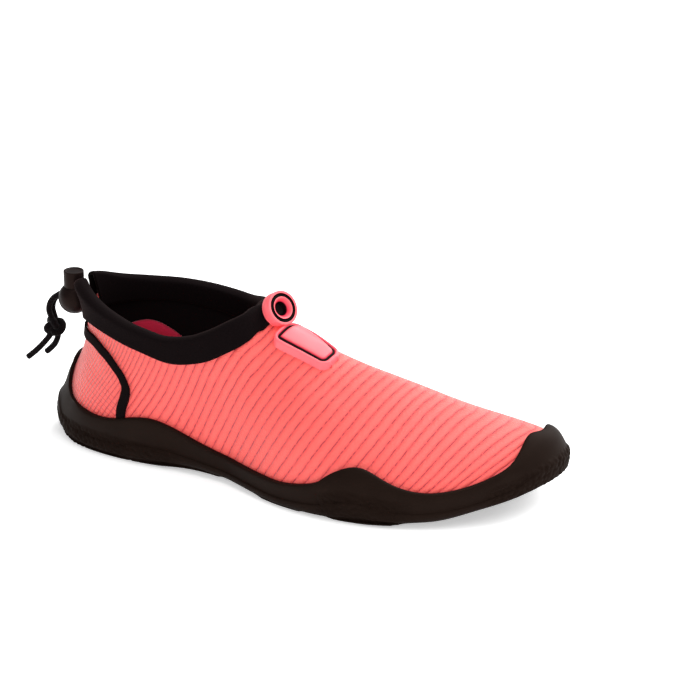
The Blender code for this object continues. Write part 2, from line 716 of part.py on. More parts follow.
def plate_solid(name, start, heel_half, toe_half, length, low, high, look, rows=9, columns=6):
    """A rounded plate that lies on the instep between two distances from it."""
    body = Skin()
    spread = (1 - np.cos(np.linspace(0, math.pi, rows + 1))) / 2
    corner = 0.004
    sheets = []
    for off in (low, high):
        sheet = []
        for share in spread:
            share = min(max(share, 0.004), 0.996)
            line = []
            for across in np.linspace(-1, 1, columns + 1):
                along, side = rounded_plan(share, across, heel_half, toe_half, length, corner)
                line.append(on_pull(start + along, side, off))
            sheet.append(body.add(line))
        sheets.append(sheet)
    for sheet in sheets:
        for line, following in zip(sheet, sheet[1:]):
            body.band(line, following, closed=False)
    loops = []
    for sheet in sheets:
        there = [line[0] for line in sheet] + sheet[-1][1:]
        loops.append(there + [line[-1] for line in sheet[-2::-1]] + sheet[0][-2:0:-1])
    body.band(loops[0], loops[1])
    return mesh_object(name, body.points, body.faces, look)


def ring_matrix():
    """Place of the pull ring: its foot stands in the plate, its axis leans forward and outwards."""
    foot = on_pull(RING_FOOT, 0.0, PLATE_THICKNESS * 0.3)
    yaw, pitch = math.radians(RING_YAW), math.radians(RING_PITCH)
    axis = Vector((math.cos(pitch) * math.cos(yaw), math.cos(pitch) * math.sin(yaw), math.sin(pitch)))
    down = (Vector((0, 0, -1)) + axis * axis.z).normalized()
    centre = Vector(foot - MIDDLE) - down * (RING_RADIUS - 0.0002)
    turn = axis.to_track_quat("Z", "Y").to_matrix().to_4x4()
    return Matrix.Translation(centre) @ turn


BAND_FRONT = float(ridge_skin(turn_of(BAND_EDGE[-1][1]))[0])
PLATE_START = BAND_FRONT + 3 * GAP
PLATE_MIDDLE = float(ridge_skin(turn_of(0.56))[1])


def make_pull(look):
    """A short ring fused on a rounded plate, with a funnel through the ring."""
    plate = plate_solid("throat_pull", 0.0, PLATE_HEEL_WIDTH / 2, PLATE_TOE_WIDTH / 2,
                        PLATE_LENGTH, GAP, GAP + PLATE_THICKNESS, look)
    half = RING_LENGTH / 2
    tube = turned("pull_ring", [
        (RING_RADIUS - 0.0008, -half), (RING_RADIUS, -half + 0.0008),
        (RING_RADIUS, half - 0.0008), (RING_RADIUS - 0.0008, half),
    ], look, ring_matrix())
    funnel = turned("pull_funnel", [
        (RING_BORE, -half - 0.001), (RING_BORE, -half + 0.0008),
        (RING_MOUTH, half - 0.0004), (RING_MOUTH, half + 0.001),
    ], look, ring_matrix())
    cut_by(tube, ring_seat(look))
    join_with(plate, tube)
    cut_by(plate, funnel)
    return plate


def ring_seat(look):
    """The room under the ring: the front of the binding behind the plate, the instep below it."""
    over_binding = CLOTH_GAP + BINDING_WALL + GAP
    in_plate = GAP + PLATE_THICKNESS * 0.4
    turns = np.linspace(turn_of(0.5), turn_of(BAND_EDGE[-1][1]), 7)
    behind = [tuple(p) for p in ridge_skin(turns, over_binding)]
    turns = np.linspace(turn_of(BAND_EDGE[-1][1]), turn_of(BAND_EDGE[-1][1]) + 0.16, 5)
    below = [tuple(p) for p in ridge_skin(turns, in_plate)]
    below[0] = (behind[-1][0], 0, below[0][2])
    top = behind + below
    depth = min(p[2] for p in top) - 0.02
    profile = [(p[0], p[2]) for p in top] + [(top[-1][0], depth), (top[0][0], depth)]
    count = len(profile)
    points = [np.array((x, side * BALL_WIDTH / 2, z)) for side in (-1, 1) for x, z in profile]
    faces = [list(range(count)), list(range(count, 2 * count))]
    faces += [[i, (i + 1) % count, count + (i + 1) % count, count + i] for i in range(count)]
    return mesh_object("ring_seat", points, faces, look)


def make_panel(look):
    """The flat field of the plate, set in a groove of its own depth."""
    inset = PANEL_INSET
    along = 0.0068
    return plate_solid("throat_panel", along,
                       PLATE_HEEL_WIDTH / 2 - inset, PLATE_TOE_WIDTH / 2 - inset,
                       PLATE_LENGTH - along - inset, GAP + PLATE_THICKNESS + GAP,
                       GAP + PLATE_THICKNESS + GAP + PANEL_GROOVE, look, rows=9, columns=4)


def lock_centre():
    """Middle of the lock: it rests against the two ends of the binding."""
    turns = np.array([RING_TURNS[BAND_START], RING_TURNS[-BAND_START]])
    faces = [band_path(turns, depth, CLOTH_GAP + BINDING_WALL) for depth in (0.0, 0.25, 0.5, 0.75)]
    edge = np.array([face[i] for face in faces for i in (0, 1)])
    edge = edge[np.abs(edge[:, 2] - LOCK_HEIGHT) < LOCK_RADIUS]
    reach = (LOCK_RADIUS + GAP)**2 - edge[:, 1]**2 - (edge[:, 2] - LOCK_HEIGHT)**2
    x = np.min(edge[:, 0] - np.sqrt(np.maximum(reach, 0)))
    return Vector((x - MIDDLE[0], -MIDDLE[1], LOCK_HEIGHT))


def make_lock(body_look, button_look):
    centre = lock_centre()
    place = Matrix.Translation(centre)
    angles = np.radians(np.linspace(-78, 78, 10))
    ball = turned("lock_body", [(LOCK_RADIUS * math.cos(a), LOCK_RADIUS * math.sin(a)) for a in angles],
                  body_look, place)
    bore_radius = BUTTON_RADIUS + BUTTON_CLEARANCE
    floor = BUTTON_FOOT - BUTTON_TRAVEL - GAP
    bore = turned("lock_bore", [(bore_radius, floor), (bore_radius, LOCK_RADIUS * 1.4)], body_look, place)
    cut_by(ball, bore)
    tunnel_low = -TUNNEL_HEIGHT / 2 + 0.0002
    tunnel = block("lock_tunnel", centre + Vector((-0.012, -TUNNEL_WIDTH / 2, tunnel_low)),
                   centre + Vector((0.012, TUNNEL_WIDTH / 2, tunnel_low + TUNNEL_HEIGHT)), body_look)
    cut_by(ball, tunnel)
    dome = 0.0007
    button = turned("lock_button", [
        (BUTTON_RADIUS, BUTTON_FOOT), (BUTTON_RADIUS, BUTTON_TOP - dome), (BUTTON_RADIUS - dome, BUTTON_TOP),
    ], button_look, place, sides=24)
    slot_low = BUTTON_FOOT + 0.0012
    slot = block("button_slot", centre + Vector((-0.012, -TUNNEL_WIDTH / 2 + 0.0003, slot_low)),
                 centre + Vector((0.012, TUNNEL_WIDTH / 2 - 0.0003, slot_low + TUNNEL_HEIGHT)), button_look)
    cut_by(button, slot)
    return centre


def smooth_route(route, spacing):
    """Points along a smooth curve through the route's own points."""
    points = [Vector(p) for p in route]
    padded = [2 * points[0] - points[1], *points, 2 * points[-1] - points[-2]]
    fine = []
    for a, b, c, d in zip(padded, padded[1:], padded[2:], padded[3:]):
        for i in range(12):
            t = i / 12
            fine.append(0.5 * (2 * b + (c - a) * t + (2 * a - 5 * b + 4 * c - d) * t * t
                               + (3 * b - a - 3 * c + d) * t**3))
    fine.append(points[-1])
    lengths = np.concatenate([[0], np.cumsum([(q - p).length for p, q in zip(fine, fine[1:])])])
    count = max(2, int(round(lengths[-1] / spacing)) + 1)
    targets = np.linspace(0, lengths[-1], count)
    return [tuple(np.interp(s, lengths, [p[i] for p in fine]) for i in range(3)) for s in targets]


def cord(name, route, look):
    """A round cord along a route, with flat closed ends."""
    data = bpy.data.curves.new(name, "CURVE")
    data.dimensions = "3D"
    data.bevel_depth = CORD_DIAMETER / 2
    data.bevel_resolution = 2
    data.use_fill_caps = True
    points = smooth_route(route, CORD_DIAMETER * 0.9)
    line = data.splines.new("POLY")
    line.points.add(len(points) - 1)
    for point, place in zip(line.points, points):
        point.co = (*place, 1.0)
    data.materials.append(look)
    made = bpy.data.objects.new(name, data)
    bpy.context.scene.collection.objects.link(made)
    return made


def make_cords(centre, look):
    for name, side in (("cord_strand_lateral", -1), ("cord_strand_medial", 1)):
        route = [centre + Vector((x, side * share * CORD_SPREAD / 2, z)) for x, share, z in STRAND_ROUTE]
        cord(name, route, look)
    angles = np.radians(np.linspace(-75, 75, 7))
    stretch = Matrix.Diagonal((*KNOT_SIZE, 1.0))
    turned("cord_knot", [(0.5 * math.cos(a), 0.5 * math.sin(a)) for a in angles], look,
           Matrix.Translation(centre + Vector(KNOT_PLACE)) @ stretch, sides=14)
    for name, route in TAIL_ROUTES:
        cord(name, [centre + Vector(p) for p in route], look)


def build():
    for existing in list(bpy.data.objects):
        bpy.data.objects.remove(existing, do_unlink=True)
    coral = material("coral_stretch_cloth", (0.95, 0.13, 0.12), 0.75)
    rubber = material("black_rubber", (0.012, 0.010, 0.009), 0.55)
    webbing = material("black_binding", (0.008, 0.006, 0.006), 0.8)
    crimson = material("crimson_foam", (0.60, 0.03, 0.09), 0.8)
    moulded = material("coral_soft_rubber", (0.95, 0.16, 0.16), 0.45)
    plastic = material("black_plastic", (0.015, 0.013, 0.013), 0.4)
    rope = material("black_cord", (0.010, 0.009, 0.009), 0.85)
    make_outsole(rubber)
    make_insole(crimson)
    make_upper(coral)
    make_binding(webbing)
    make_tape("heel_tape_lateral", -1, webbing)
    make_tape("heel_tape_medial", 1, webbing)
    make_pull(moulded)
    make_panel(moulded)
    make_cords(make_lock(plastic, plastic), rope)


build()
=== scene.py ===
# %% [markdown]
# # A water shoe, dressed for its photograph
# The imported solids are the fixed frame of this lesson. Every piece below stands for one or two of
# them: it is a rounded copy with a real finish, or a finer piece in the same place. All lengths are
# metres, +X is the toe, +Y the inner side of the foot and +Z up.

# %% Load the frame
import json
import math

import bpy
import numpy as np
from mathutils import Matrix, Vector
from mathutils.kdtree import KDTree

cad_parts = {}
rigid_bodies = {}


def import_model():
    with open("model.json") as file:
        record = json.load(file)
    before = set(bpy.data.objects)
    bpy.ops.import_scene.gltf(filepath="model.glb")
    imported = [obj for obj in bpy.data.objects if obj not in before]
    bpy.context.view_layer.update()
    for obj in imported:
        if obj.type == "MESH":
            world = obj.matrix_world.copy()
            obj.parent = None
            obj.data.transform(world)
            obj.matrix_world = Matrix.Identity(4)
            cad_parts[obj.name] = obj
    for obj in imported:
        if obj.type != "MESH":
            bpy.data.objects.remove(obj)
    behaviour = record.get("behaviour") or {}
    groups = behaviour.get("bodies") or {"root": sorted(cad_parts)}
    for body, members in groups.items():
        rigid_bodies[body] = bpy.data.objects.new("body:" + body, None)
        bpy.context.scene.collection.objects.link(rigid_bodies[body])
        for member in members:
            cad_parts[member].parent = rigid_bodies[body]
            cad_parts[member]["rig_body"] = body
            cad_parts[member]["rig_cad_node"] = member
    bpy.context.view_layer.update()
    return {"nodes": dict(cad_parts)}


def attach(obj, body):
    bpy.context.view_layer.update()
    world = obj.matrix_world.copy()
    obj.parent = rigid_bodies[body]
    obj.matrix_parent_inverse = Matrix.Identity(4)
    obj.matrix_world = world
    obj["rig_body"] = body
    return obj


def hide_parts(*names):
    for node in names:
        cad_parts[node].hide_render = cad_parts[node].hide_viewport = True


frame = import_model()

MM = 0.001

# %% [markdown]
# ## Camera
# The picture was taken from a little above the outer side, from the toe's end, with a long lens:
# 26 degrees round, 22 degrees up and 1.2 m away. A long lens keeps the shoe's two ends close in size.
# Its focal length was worked out in pixels of a picture 700 pixels wide.

# %% Camera
SIGHT = Vector((0.0258, 0.0007, 0.0605))
AROUND, ABOVE, AWAY = math.radians(26), math.radians(22), 1.209
FOCAL_PIXELS, PICTURE_PIXELS, SENSOR_WIDTH = 2750, 700, 36
back = Vector((math.sin(AROUND) * math.cos(ABOVE), -math.cos(AROUND) * math.cos(ABOVE), math.sin(ABOVE)))
camera = bpy.data.objects.new("camera", bpy.data.cameras.new("camera"))
bpy.context.scene.collection.objects.link(camera)
camera.location = SIGHT + back * AWAY
camera.rotation_euler = (-back).to_track_quat("-Z", "Y").to_euler()
camera.data.sensor_width = SENSOR_WIDTH
camera.data.lens = FOCAL_PIXELS / PICTURE_PIXELS * SENSOR_WIDTH
camera.data.clip_start = 0.05
bpy.context.scene.camera = camera
print("camera", round(AWAY, 3), "m away, lens", round(camera.data.lens, 1), "mm")

# %% [markdown]
# ## Colours and nodes
# A colour is written as the hex value that a screen shows, and one function turns it to the linear
# value that the shaders add up. One other function adds a node with its settings and links, so a
# material reads as a list of steps. The scale of a pattern is worked out from its size in millimetres.

# %% Helpers for materials
def colour(hex_value):
    """The linear value of a colour that is written as a screen shows it."""
    parts = [int(hex_value[i:i + 2], 16) / 255 for i in (1, 3, 5)]
    return (*[p / 12.92 if p <= 0.04045 else ((p + 0.055) / 1.055)**2.4 for p in parts], 1.0)


def per(millimetres):
    """The scale at which a pattern changes about once in this length."""
    return 1 / (millimetres * MM)


def add(look, kind, sockets=None, **settings):
    """Add a node with its settings. A socket gets a value, or a link where it is given an output."""
    node = look.node_tree.nodes.new("ShaderNode" + kind)
    for name, value in settings.items():
        setattr(node, name, value)
    for name, value in (sockets or {}).items():
        if isinstance(value, bpy.types.NodeSocket):
            look.node_tree.links.new(value, node.inputs[name])
        else:
            node.inputs[name].default_value = value
    return node


def new_look(name, shader_values):
    look = bpy.data.materials.new(name)
    look.use_nodes = True
    shader = look.node_tree.nodes["Principled BSDF"]
    for socket, value in shader_values.items():
        shader.inputs[socket].default_value = value
    return look, shader


def link(look, output, shader, socket):
    look.node_tree.links.new(output, shader.inputs[socket])


# %% [markdown]
# ## Smooth copies
# The solids have few faces. A soft piece is made from a copy of its solid: the doubled points are
# merged and the triangles paired into quads, which a Subdivision Surface rounds best. Edges that are
# to stay sharp are creased first.

# %% Copy a solid and merge it
MERGE_WITHIN = 2e-5


def only(piece):
    bpy.ops.object.select_all(action="DESELECT")
    piece.select_set(True)
    bpy.context.view_layer.objects.active = piece


def merged_copy(name, node):
    """A copy of a solid with its loose triangles joined to one skin, mostly of quads."""
    only(frame["nodes"][node])
    bpy.ops.object.duplicate()
    piece = bpy.context.object
    piece.name = name
    piece.data.name = name
    piece.parent = None
    # A copy is a piece of its own, so the marks of its solid come off
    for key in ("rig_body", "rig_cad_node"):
        del piece[key]
    bpy.ops.object.mode_set(mode="EDIT")
    bpy.ops.mesh.select_all(action="SELECT")
    bpy.ops.mesh.customdata_custom_splitnormals_clear()
    bpy.ops.mesh.remove_doubles(threshold=MERGE_WITHIN)
    bpy.ops.mesh.tris_convert_to_quads(face_threshold=math.radians(60), shape_threshold=math.radians(100))
    bpy.ops.object.mode_set(mode="OBJECT")
    return piece


def crease_sharp(piece, angle):
    """Edges that fold by more than the angle stay sharp when the piece is rounded."""
    only(piece)
    bpy.ops.object.mode_set(mode="EDIT")
    bpy.ops.mesh.select_mode(type="EDGE")
    bpy.ops.mesh.select_all(action="DESELECT")
    bpy.ops.mesh.edges_select_sharp(sharpness=math.radians(angle))
    bpy.ops.transform.edge_crease(value=1.0)
    bpy.ops.mesh.select_mode(type="VERT")
    bpy.ops.object.mode_set(mode="OBJECT")


# %% [markdown]
# ## Rounding and dressing
# Rounding draws a cage inwards, so the cage's points are first pushed out by as much as the surface
# misses them. Dressing gives a piece its material and says which body it rides on and which solids it
# stands for.

# %% Round a piece, mark its points and dress it
PUSHES = 3


def points_of(mesh):
    flat = np.zeros(len(mesh.vertices) * 3)
    mesh.vertices.foreach_get("co", flat)
    return flat.reshape(-1, 3)


def put_points(mesh, points):
    mesh.vertices.foreach_set("co", np.asarray(points, float).ravel())
    mesh.update()


def rounded(piece, levels):
    """Round a piece in place, so that its surface runs through the points that it had."""
    only(piece)
    change = piece.modifiers.new("round", "SUBSURF")
    change.levels = change.render_levels = levels
    wanted = points_of(piece.data)
    cage = wanted.copy()
    for _ in range(PUSHES):
        drawn = piece.evaluated_get(bpy.context.evaluated_depsgraph_get())
        cage += wanted - points_of(drawn.data)[:len(wanted)]
        put_points(piece.data, cage)
    bpy.ops.object.modifier_apply(modifier=change.name)
    bpy.ops.object.shade_smooth()
    print(piece.name, "has", len(piece.data.polygons), "faces")
    return piece


def stored(piece, name, values):
    """Keep a number for each point, for a material to read by this name."""
    attribute = piece.data.attributes.new(name, "FLOAT", "POINT")
    attribute.data.foreach_set("value", np.asarray(values, np.float32))


def dress(piece, look, body, slot, *nodes):
    """Give a piece its material, its body and the solids that it stands for. The slot is not used."""
    piece.data.materials.clear()
    piece.data.materials.append(look)
    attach(piece, body)
    if nodes:
        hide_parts(*nodes)
    return piece


# %% [markdown]
# ## The upper's cloth
# The cloth is a stretch knit sewn in narrow tucks. They run across the instep and sweep back down
# both sides, and they lie closer together at the heel, where the cloth is stretched less. Modelling
# all seventy-five tucks would take too many faces. So each point of the mesh stores how many
# tucks lie between it and the heel, and the material draws the ribs from that.

# %% Smooth the upper and count its tucks
upper = merged_copy("upper_cloth", "upper")
crease_sharp(upper, 50)
rounded(upper, 2)
# The ridge of the instep, seen from above
RIDGE_X = np.array([-0.125, -0.100, -0.050, -0.016, -0.006, 0.008, 0.026, 0.050, 0.072, 0.092, 0.106])
RIDGE_Y = np.array([0.0, 0.0, -0.001, -0.003, -0.004, -0.004, -0.003, 0.000, 0.003, 0.006, 0.009])
CROWN = 0.020
# The bend of the tucks as a sum of products of along, side and height, each in its own unit
BEND = np.array((-0.0217, -0.0375, -0.0609, -0.0198, 0.0112, 0.0082, 0.0293, 0.0330, -0.0316))
ALONG_UNIT, SIDE_UNIT, HEIGHT_UNIT = 0.1, 0.04, 0.05
PITCH_AT = np.array([-0.16, -0.09, -0.05, -0.03, -0.01, 0.01, 0.03, 0.05, 0.16])
PITCH = np.array([2.6, 2.8, 3.3, 3.6, 3.1, 3.1, 3.6, 4.1, 4.3]) * MM


def tuck_count(points):
    """Tucks between the heel and each point. The bend leans them back down both sides."""
    x, y, z = points.T
    side = np.sqrt((y - np.interp(x, RIDGE_X, RIDGE_Y))**2 + CROWN**2) - CROWN
    u, s, h = x / ALONG_UNIT, side / SIDE_UNIT, z / HEIGHT_UNIT
    shapes = np.stack([s, h, u * s, u * h, s * s, h * h, s * h, u * u * s, u * u * h])
    fine = np.linspace(-0.20, 0.20, 801)
    count = np.concatenate([[0], np.cumsum(np.diff(fine) / np.interp(fine[1:], PITCH_AT, PITCH))])
    return np.interp(x + BEND @ shapes, fine, count)


cloth = points_of(upper.data)
stored(upper, "tuck", tuck_count(cloth))
print("tucks from heel to toe:", round(float(np.ptp(tuck_count(cloth))), 1))

# %% [markdown]
# ## The heel panel's cross lines
# Behind a slanting seam the tucks are crossed by a second set of fine lines. One number for each
# point says whether it lies in that panel, and one counts the cross lines.

# %% Mark the heel panel
PANEL_X, PANEL_Z, PANEL_SOFT = -0.105, 0.0547, 0.001
CROSS_LEAN, CROSS_PITCH = 0.55, 2.6 * MM
stored(upper, "heel", np.clip((PANEL_X + (PANEL_Z - cloth[:, 2]) - cloth[:, 0]) / PANEL_SOFT, 0, 1))
stored(upper, "cross", (cloth[:, 2] + CROSS_LEAN * cloth[:, 0]) / CROSS_PITCH)

# %% [markdown]
# ## Creases
# A worn shoe's cloth gives where the foot bends. A crease is a shape and no drawing, so it is pressed
# into the mesh: a soft valley along a short line, sinking towards the middle of the foot.

# %% Press the creases in
CORE_HEIGHT = 0.020
# Start and end of each line, width and depth, in millimetres
TROUGHS = (
    ((44, -44, 20), (58, -22, 42), 6, 0.55), ((28, -44, 20), (40, -26, 44), 5, 0.40),
    ((60, 44, 20), (62, 26, 42), 6, 0.50), ((-4, -36, 22), (4, -28, 44), 7, 0.45),
    ((-44, -32, 24), (-36, -28, 42), 7, 0.50), ((-72, -31, 30), (-58, -29, 36), 5, 0.40),
    ((-40, 30, 24), (-30, 27, 42), 7, 0.50), ((12, -24, 56), (30, -20, 50), 4, 0.35),
    ((-104, -14, 44), (-92, -22, 38), 4, 0.35),
)


def troughs(points):
    """How far each point sinks, as the sum of soft valleys along short lines."""
    sunk = np.zeros(len(points))
    for start, end, width, depth in TROUGHS:
        a, b = np.array(start) * MM, np.array(end) * MM
        t = np.clip((points - a) @ (b - a) / ((b - a) @ (b - a)), 0, 1)
        away = np.linalg.norm(points - a - t[:, None] * (b - a), axis=1)
        sunk += depth * MM * np.exp(-(away / (width * MM))**2)
    return sunk


def core_of(points):
    """The point on a line inside the foot that lies level with each point."""
    y = np.interp(points[:, 0], RIDGE_X, RIDGE_Y)
    return np.stack([points[:, 0], y, np.full(len(points), CORE_HEIGHT)], -1)


outward = cloth - core_of(cloth)
outward /= np.linalg.norm(outward, axis=1)[:, None]
put_points(upper.data, cloth - outward * troughs(cloth)[:, None])
print("deepest crease", round(float(troughs(cloth).max()) / MM, 2), "mm")

# %% [markdown]
# ## Neon knit
# Polyester knit in a fluorescent coral: a matt cloth with a soft sheen at grazing angles. A faint
# emission is a painted glow, which brightens the cloth under any light. Each tuck is a soft round rib.
# The valley between two ribs is a thin darker line. It is partly the seam's stitching, which breaks
# where the knit is caught, and partly painted shade.

# %% Knit: the lines between the tucks
# The emission in these settings is a painted glow, the same under any light.
knit, knit_shader = new_look("fluorescent_polyester_knit", {
    "Roughness": 0.52, "IOR": 1.45, "Specular IOR Level": 0.55, "Sheen Weight": 0.75, "Sheen Roughness": 0.35,
    "Sheen Tint": colour("#FFE0DC"), "Emission Color": colour("#FF3C38"), "Emission Strength": 0.10,
})


def off_middle(look, count):
    """How far a count is from the middle of its tuck: 0 on the rib, 0.5 in the valley."""
    share = add(look, "Math", {0: count}, operation="FRACT").outputs[0]
    centred = add(look, "Math", {0: share, 1: 0.5}, operation="SUBTRACT").outputs[0]
    return add(look, "Math", {0: centred}, operation="ABSOLUTE").outputs[0]


place = add(knit, "TexCoord").outputs["Object"]
tuck = add(knit, "Attribute", attribute_name="tuck").outputs["Fac"]
# The seams wander by a sixth of a tuck every 4 mm or so
wobble = add(knit, "TexNoise", {"Vector": place, "Scale": per(4.167), "Detail": 2.0}).outputs["Fac"]
shifted = add(knit, "Math", {0: wobble, 1: 0.16, 2: tuck}, operation="MULTIPLY_ADD").outputs[0]
aside = off_middle(knit, shifted)
valley = add(knit, "MapRange", {"Value": aside, "From Min": 0.40, "From Max": 0.5},
             interpolation_type="SMOOTHSTEP").outputs[0]
# Painted shade: each rib is darker towards its sides than on its top.
rib_side_painted_shade = add(knit, "MapRange", {"Value": aside, "From Min": 0.12, "From Max": 0.5},
                interpolation_type="SMOOTHSTEP").outputs[0]
# The needle catches the knit every 1.6 mm, and there the dark line fades
catch = add(knit, "TexNoise", {"Vector": place, "Scale": per(1.613), "Detail": 1.0}).outputs["Fac"]
broken = add(knit, "MapRange", {
    "Value": catch, "From Min": 0.38, "From Max": 0.58, "To Min": 0.30}).outputs[0]
long_line = add(knit, "Math", {0: valley, 1: broken}, operation="MULTIPLY").outputs[0]

# %% [markdown]
# ## Cross-hatch of the heel panel
# The same stripe, drawn from the second count and kept to the panel. The real lines are a little
# finer, and these are drawn as coarse as they need to show.

# %% Knit: the heel panel
cross = add(knit, "Attribute", attribute_name="cross").outputs["Fac"]
cross_aside = off_middle(knit, cross)
cross_valley = add(knit, "MapRange", {"Value": cross_aside, "From Min": 0.36, "From Max": 0.5}).outputs[0]
heel = add(knit, "Attribute", attribute_name="heel").outputs["Fac"]
cross_line = add(knit, "Math", {0: cross_valley, 1: heel}, operation="MULTIPLY").outputs[0]
weak_cross = add(knit, "Math", {0: cross_line, 1: 0.55}, operation="MULTIPLY").outputs[0]
line = add(knit, "Math", {0: long_line, 1: weak_cross}, operation="MAXIMUM").outputs[0]

# %% [markdown]
# ## Colour and ribs of the knit
# The dye clouds a little over some 30 mm. The sides of each rib are painted darker than its top, as
# painted shade. The valleys are wine red, partly stitching and partly painted shade. The relief is a
# hump for each tuck with the grain of the 0.7 mm stitches on it.

# %% Knit: colour and relief
cloud = add(knit, "TexNoise", {"Vector": place, "Scale": per(28.57), "Detail": 4.0}).outputs["Fac"]
top_colour = add(knit, "Mix", {"Factor": cloud, "A": colour("#EF5A54"), "B": colour("#F76860")},
                 data_type="RGBA").outputs["Result"]
rib_colour_with_painted_shade = add(knit, "Mix", {"Factor": rib_side_painted_shade, "A": top_colour, "B": colour("#EE5452")},
                 data_type="RGBA").outputs["Result"]
# The wine red lines are partly the seam's stitching and partly painted shade in the valleys.
seam_and_valley_shade_colour = add(knit, "Mix", {"Factor": line, "A": rib_colour_with_painted_shade, "B": colour("#AC303C")},
                  data_type="RGBA").outputs["Result"]
link(knit, seam_and_valley_shade_colour, knit_shader, "Base Color")
# Painted glow, weaker in the dark lines.
painted_glow = add(knit, "Mix", {"Factor": line, "A": colour("#FF3C38"), "B": colour("#5A0E14")}, data_type="RGBA")
link(knit, painted_glow.outputs["Result"], knit_shader, "Emission Color")
hump = add(knit, "Math", {0: aside, 1: 2.4}, operation="POWER").outputs[0]
grain = add(knit, "TexNoise", {"Vector": place, "Scale": per(0.6667), "Detail": 2.0}).outputs["Fac"]
height = add(knit, "Math", {0: hump, 1: -7.0, 2: grain}, operation="MULTIPLY_ADD").outputs[0]
relief = add(knit, "Bump", {"Height": height, "Strength": 0.8, "Distance": 0.5 * MM})
link(knit, relief.outputs["Normal"], knit_shader, "Normal")

# %% [markdown]
# ## Lining
# A black brushed cloth, dull enough to swallow nearly all light, so the opening reads as a dark
# hollow. It is the same mesh as the knit: every face that looks towards the foot gets it.

# %% Dress the upper, outside and inside
lining, _ = new_look("black_brushed_lining", {
    "Base Color": colour("#0B0607"), "Roughness": 0.95, "Specular IOR Level": 0.1, "Sheen Weight": 0.05})
dress(upper, knit, "shoe", "coral_stretch_cloth", "upper")
upper.data.materials.append(lining)
centres = np.array([p.center for p in upper.data.polygons])
normals = np.array([p.normal for p in upper.data.polygons])
inward = ((centres - core_of(centres)) * normals).sum(axis=1) < 0
upper.data.polygons.foreach_set("material_index", inward.astype(np.int32))
print("faces of the lining:", int(inward.sum()), "of", len(inward))

# %% [markdown]
# ## Rubber sole
# The cup sole is moulded in black rubber. Below a step in its side, the heel, the ball and the toe
# have a rough pebbled zone, where the shoe scrapes on rocks. The faces of those zones are subdivided,
# because pebbles half a millimetre high show on the sole's outline and bump wouldn't.

# %% Smooth the sole and mark where it is pebbled
PEBBLED_X = [-0.052, -0.042, 0.028, 0.038, 0.066, 0.076, 0.098, 0.106]
PEBBLED = [1, 0, 0, 1, 1, 0, 0, 1]
STEP_X = [-0.12, -0.05, 0.03, 0.045, 0.07, 0.09, 0.112, 0.123]
STEP_HEIGHT = [11, 10, 11, 14, 12, 13, 20, 26]
STEP_SOFT = 0.0015


def select_faces(piece, chosen):
    """Leave the piece in edit mode with only the chosen faces selected."""
    only(piece)
    bpy.ops.object.mode_set(mode="EDIT")
    bpy.ops.mesh.select_mode(type="FACE")
    bpy.ops.mesh.select_all(action="DESELECT")
    bpy.ops.object.mode_set(mode="OBJECT")
    for face in piece.data.polygons:
        face.select = bool(chosen(face))
    bpy.ops.object.mode_set(mode="EDIT")


sole = merged_copy("outsole_rubber", "outsole")
crease_sharp(sole, 58)
rounded(sole, 2)
spots = points_of(sole.data)
zone = np.interp(spots[:, 0], PEBBLED_X, PEBBLED)
below_step = np.interp(spots[:, 0], STEP_X, STEP_HEIGHT) * MM - spots[:, 2]
zone *= np.clip(below_step / STEP_SOFT + 0.5, 0, 1)
stored(sole, "pebbled", zone)
select_faces(sole, lambda face: zone[list(face.vertices)].max() > 0.05)
bpy.ops.mesh.subdivide(number_cuts=2)
bpy.ops.mesh.select_mode(type="VERT")
bpy.ops.object.mode_set(mode="OBJECT")
print("sole faces:", len(sole.data.polygons))

# %% [markdown]
# ## Pebbles
# The mould's pebbles lie as close as they can without a pattern. Points of the zone are taken in a
# random order, and one becomes a pebble's top if no other top is near. The underside stays plain.

# %% Choose the tops of the pebbles
PEBBLE = 2.3 * MM
PEBBLE_APART = 0.86 * PEBBLE
DOWNWARD, DOWNWARD_SOFT = 0.75, 0.35
AROUND_CELL = [(a, b, c) for a in (-1, 0, 1) for b in (-1, 0, 1) for c in (-1, 0, 1)]


def pebble_tops(candidates):
    """As many of these points as fit, none closer to another than PEBBLE_APART."""
    cells, tops = {}, []
    for point in candidates:
        x, y, z = (int(c) for c in point // PEBBLE)
        near = [cells[k] for k in ((x + a, y + b, z + c) for a, b, c in AROUND_CELL) if k in cells]
        if all(np.linalg.norm(point - q) > PEBBLE_APART for q in near):
            cells[x, y, z] = point
            tops.append(point)
    return tops


spots = points_of(sole.data)
mask = np.zeros(len(spots))
sole.data.attributes["pebbled"].data.foreach_get("value", mask)
facing = np.zeros(len(spots) * 3)
sole.data.vertices.foreach_get("normal", facing)
facing = facing.reshape(-1, 3)
mask *= np.clip((facing[:, 2] + DOWNWARD) / DOWNWARD_SOFT, 0, 1)
usable = np.flatnonzero(mask > 0.5)
np.random.default_rng(4).shuffle(usable)
tops = pebble_tops(spots[usable])
print("pebbles:", len(tops))

# %% [markdown]
# ## Lumps under the tops
# Each point of the zone rises along its normal by the height of a round lump over the nearest top. A
# tree of the tops finds that one quickly.

# %% Raise the pebbles
PEBBLE_HEIGHT, PEBBLE_REACH = 0.5 * MM, 0.60 * PEBBLE
tree = KDTree(len(tops))
for index, top in enumerate(tops):
    tree.insert(top, index)
tree.balance()
away = np.array([tree.find(q)[2] if m > 0.02 else 1.0 for q, m in zip(spots, mask)])
lump = np.sqrt(np.clip(1 - (away / PEBBLE_REACH)**2, 0, 1)) * PEBBLE_HEIGHT * mask
spots += facing * lump[:, None]
print("the highest pebble rises", round(float(lump.max()) / MM, 2), "mm")

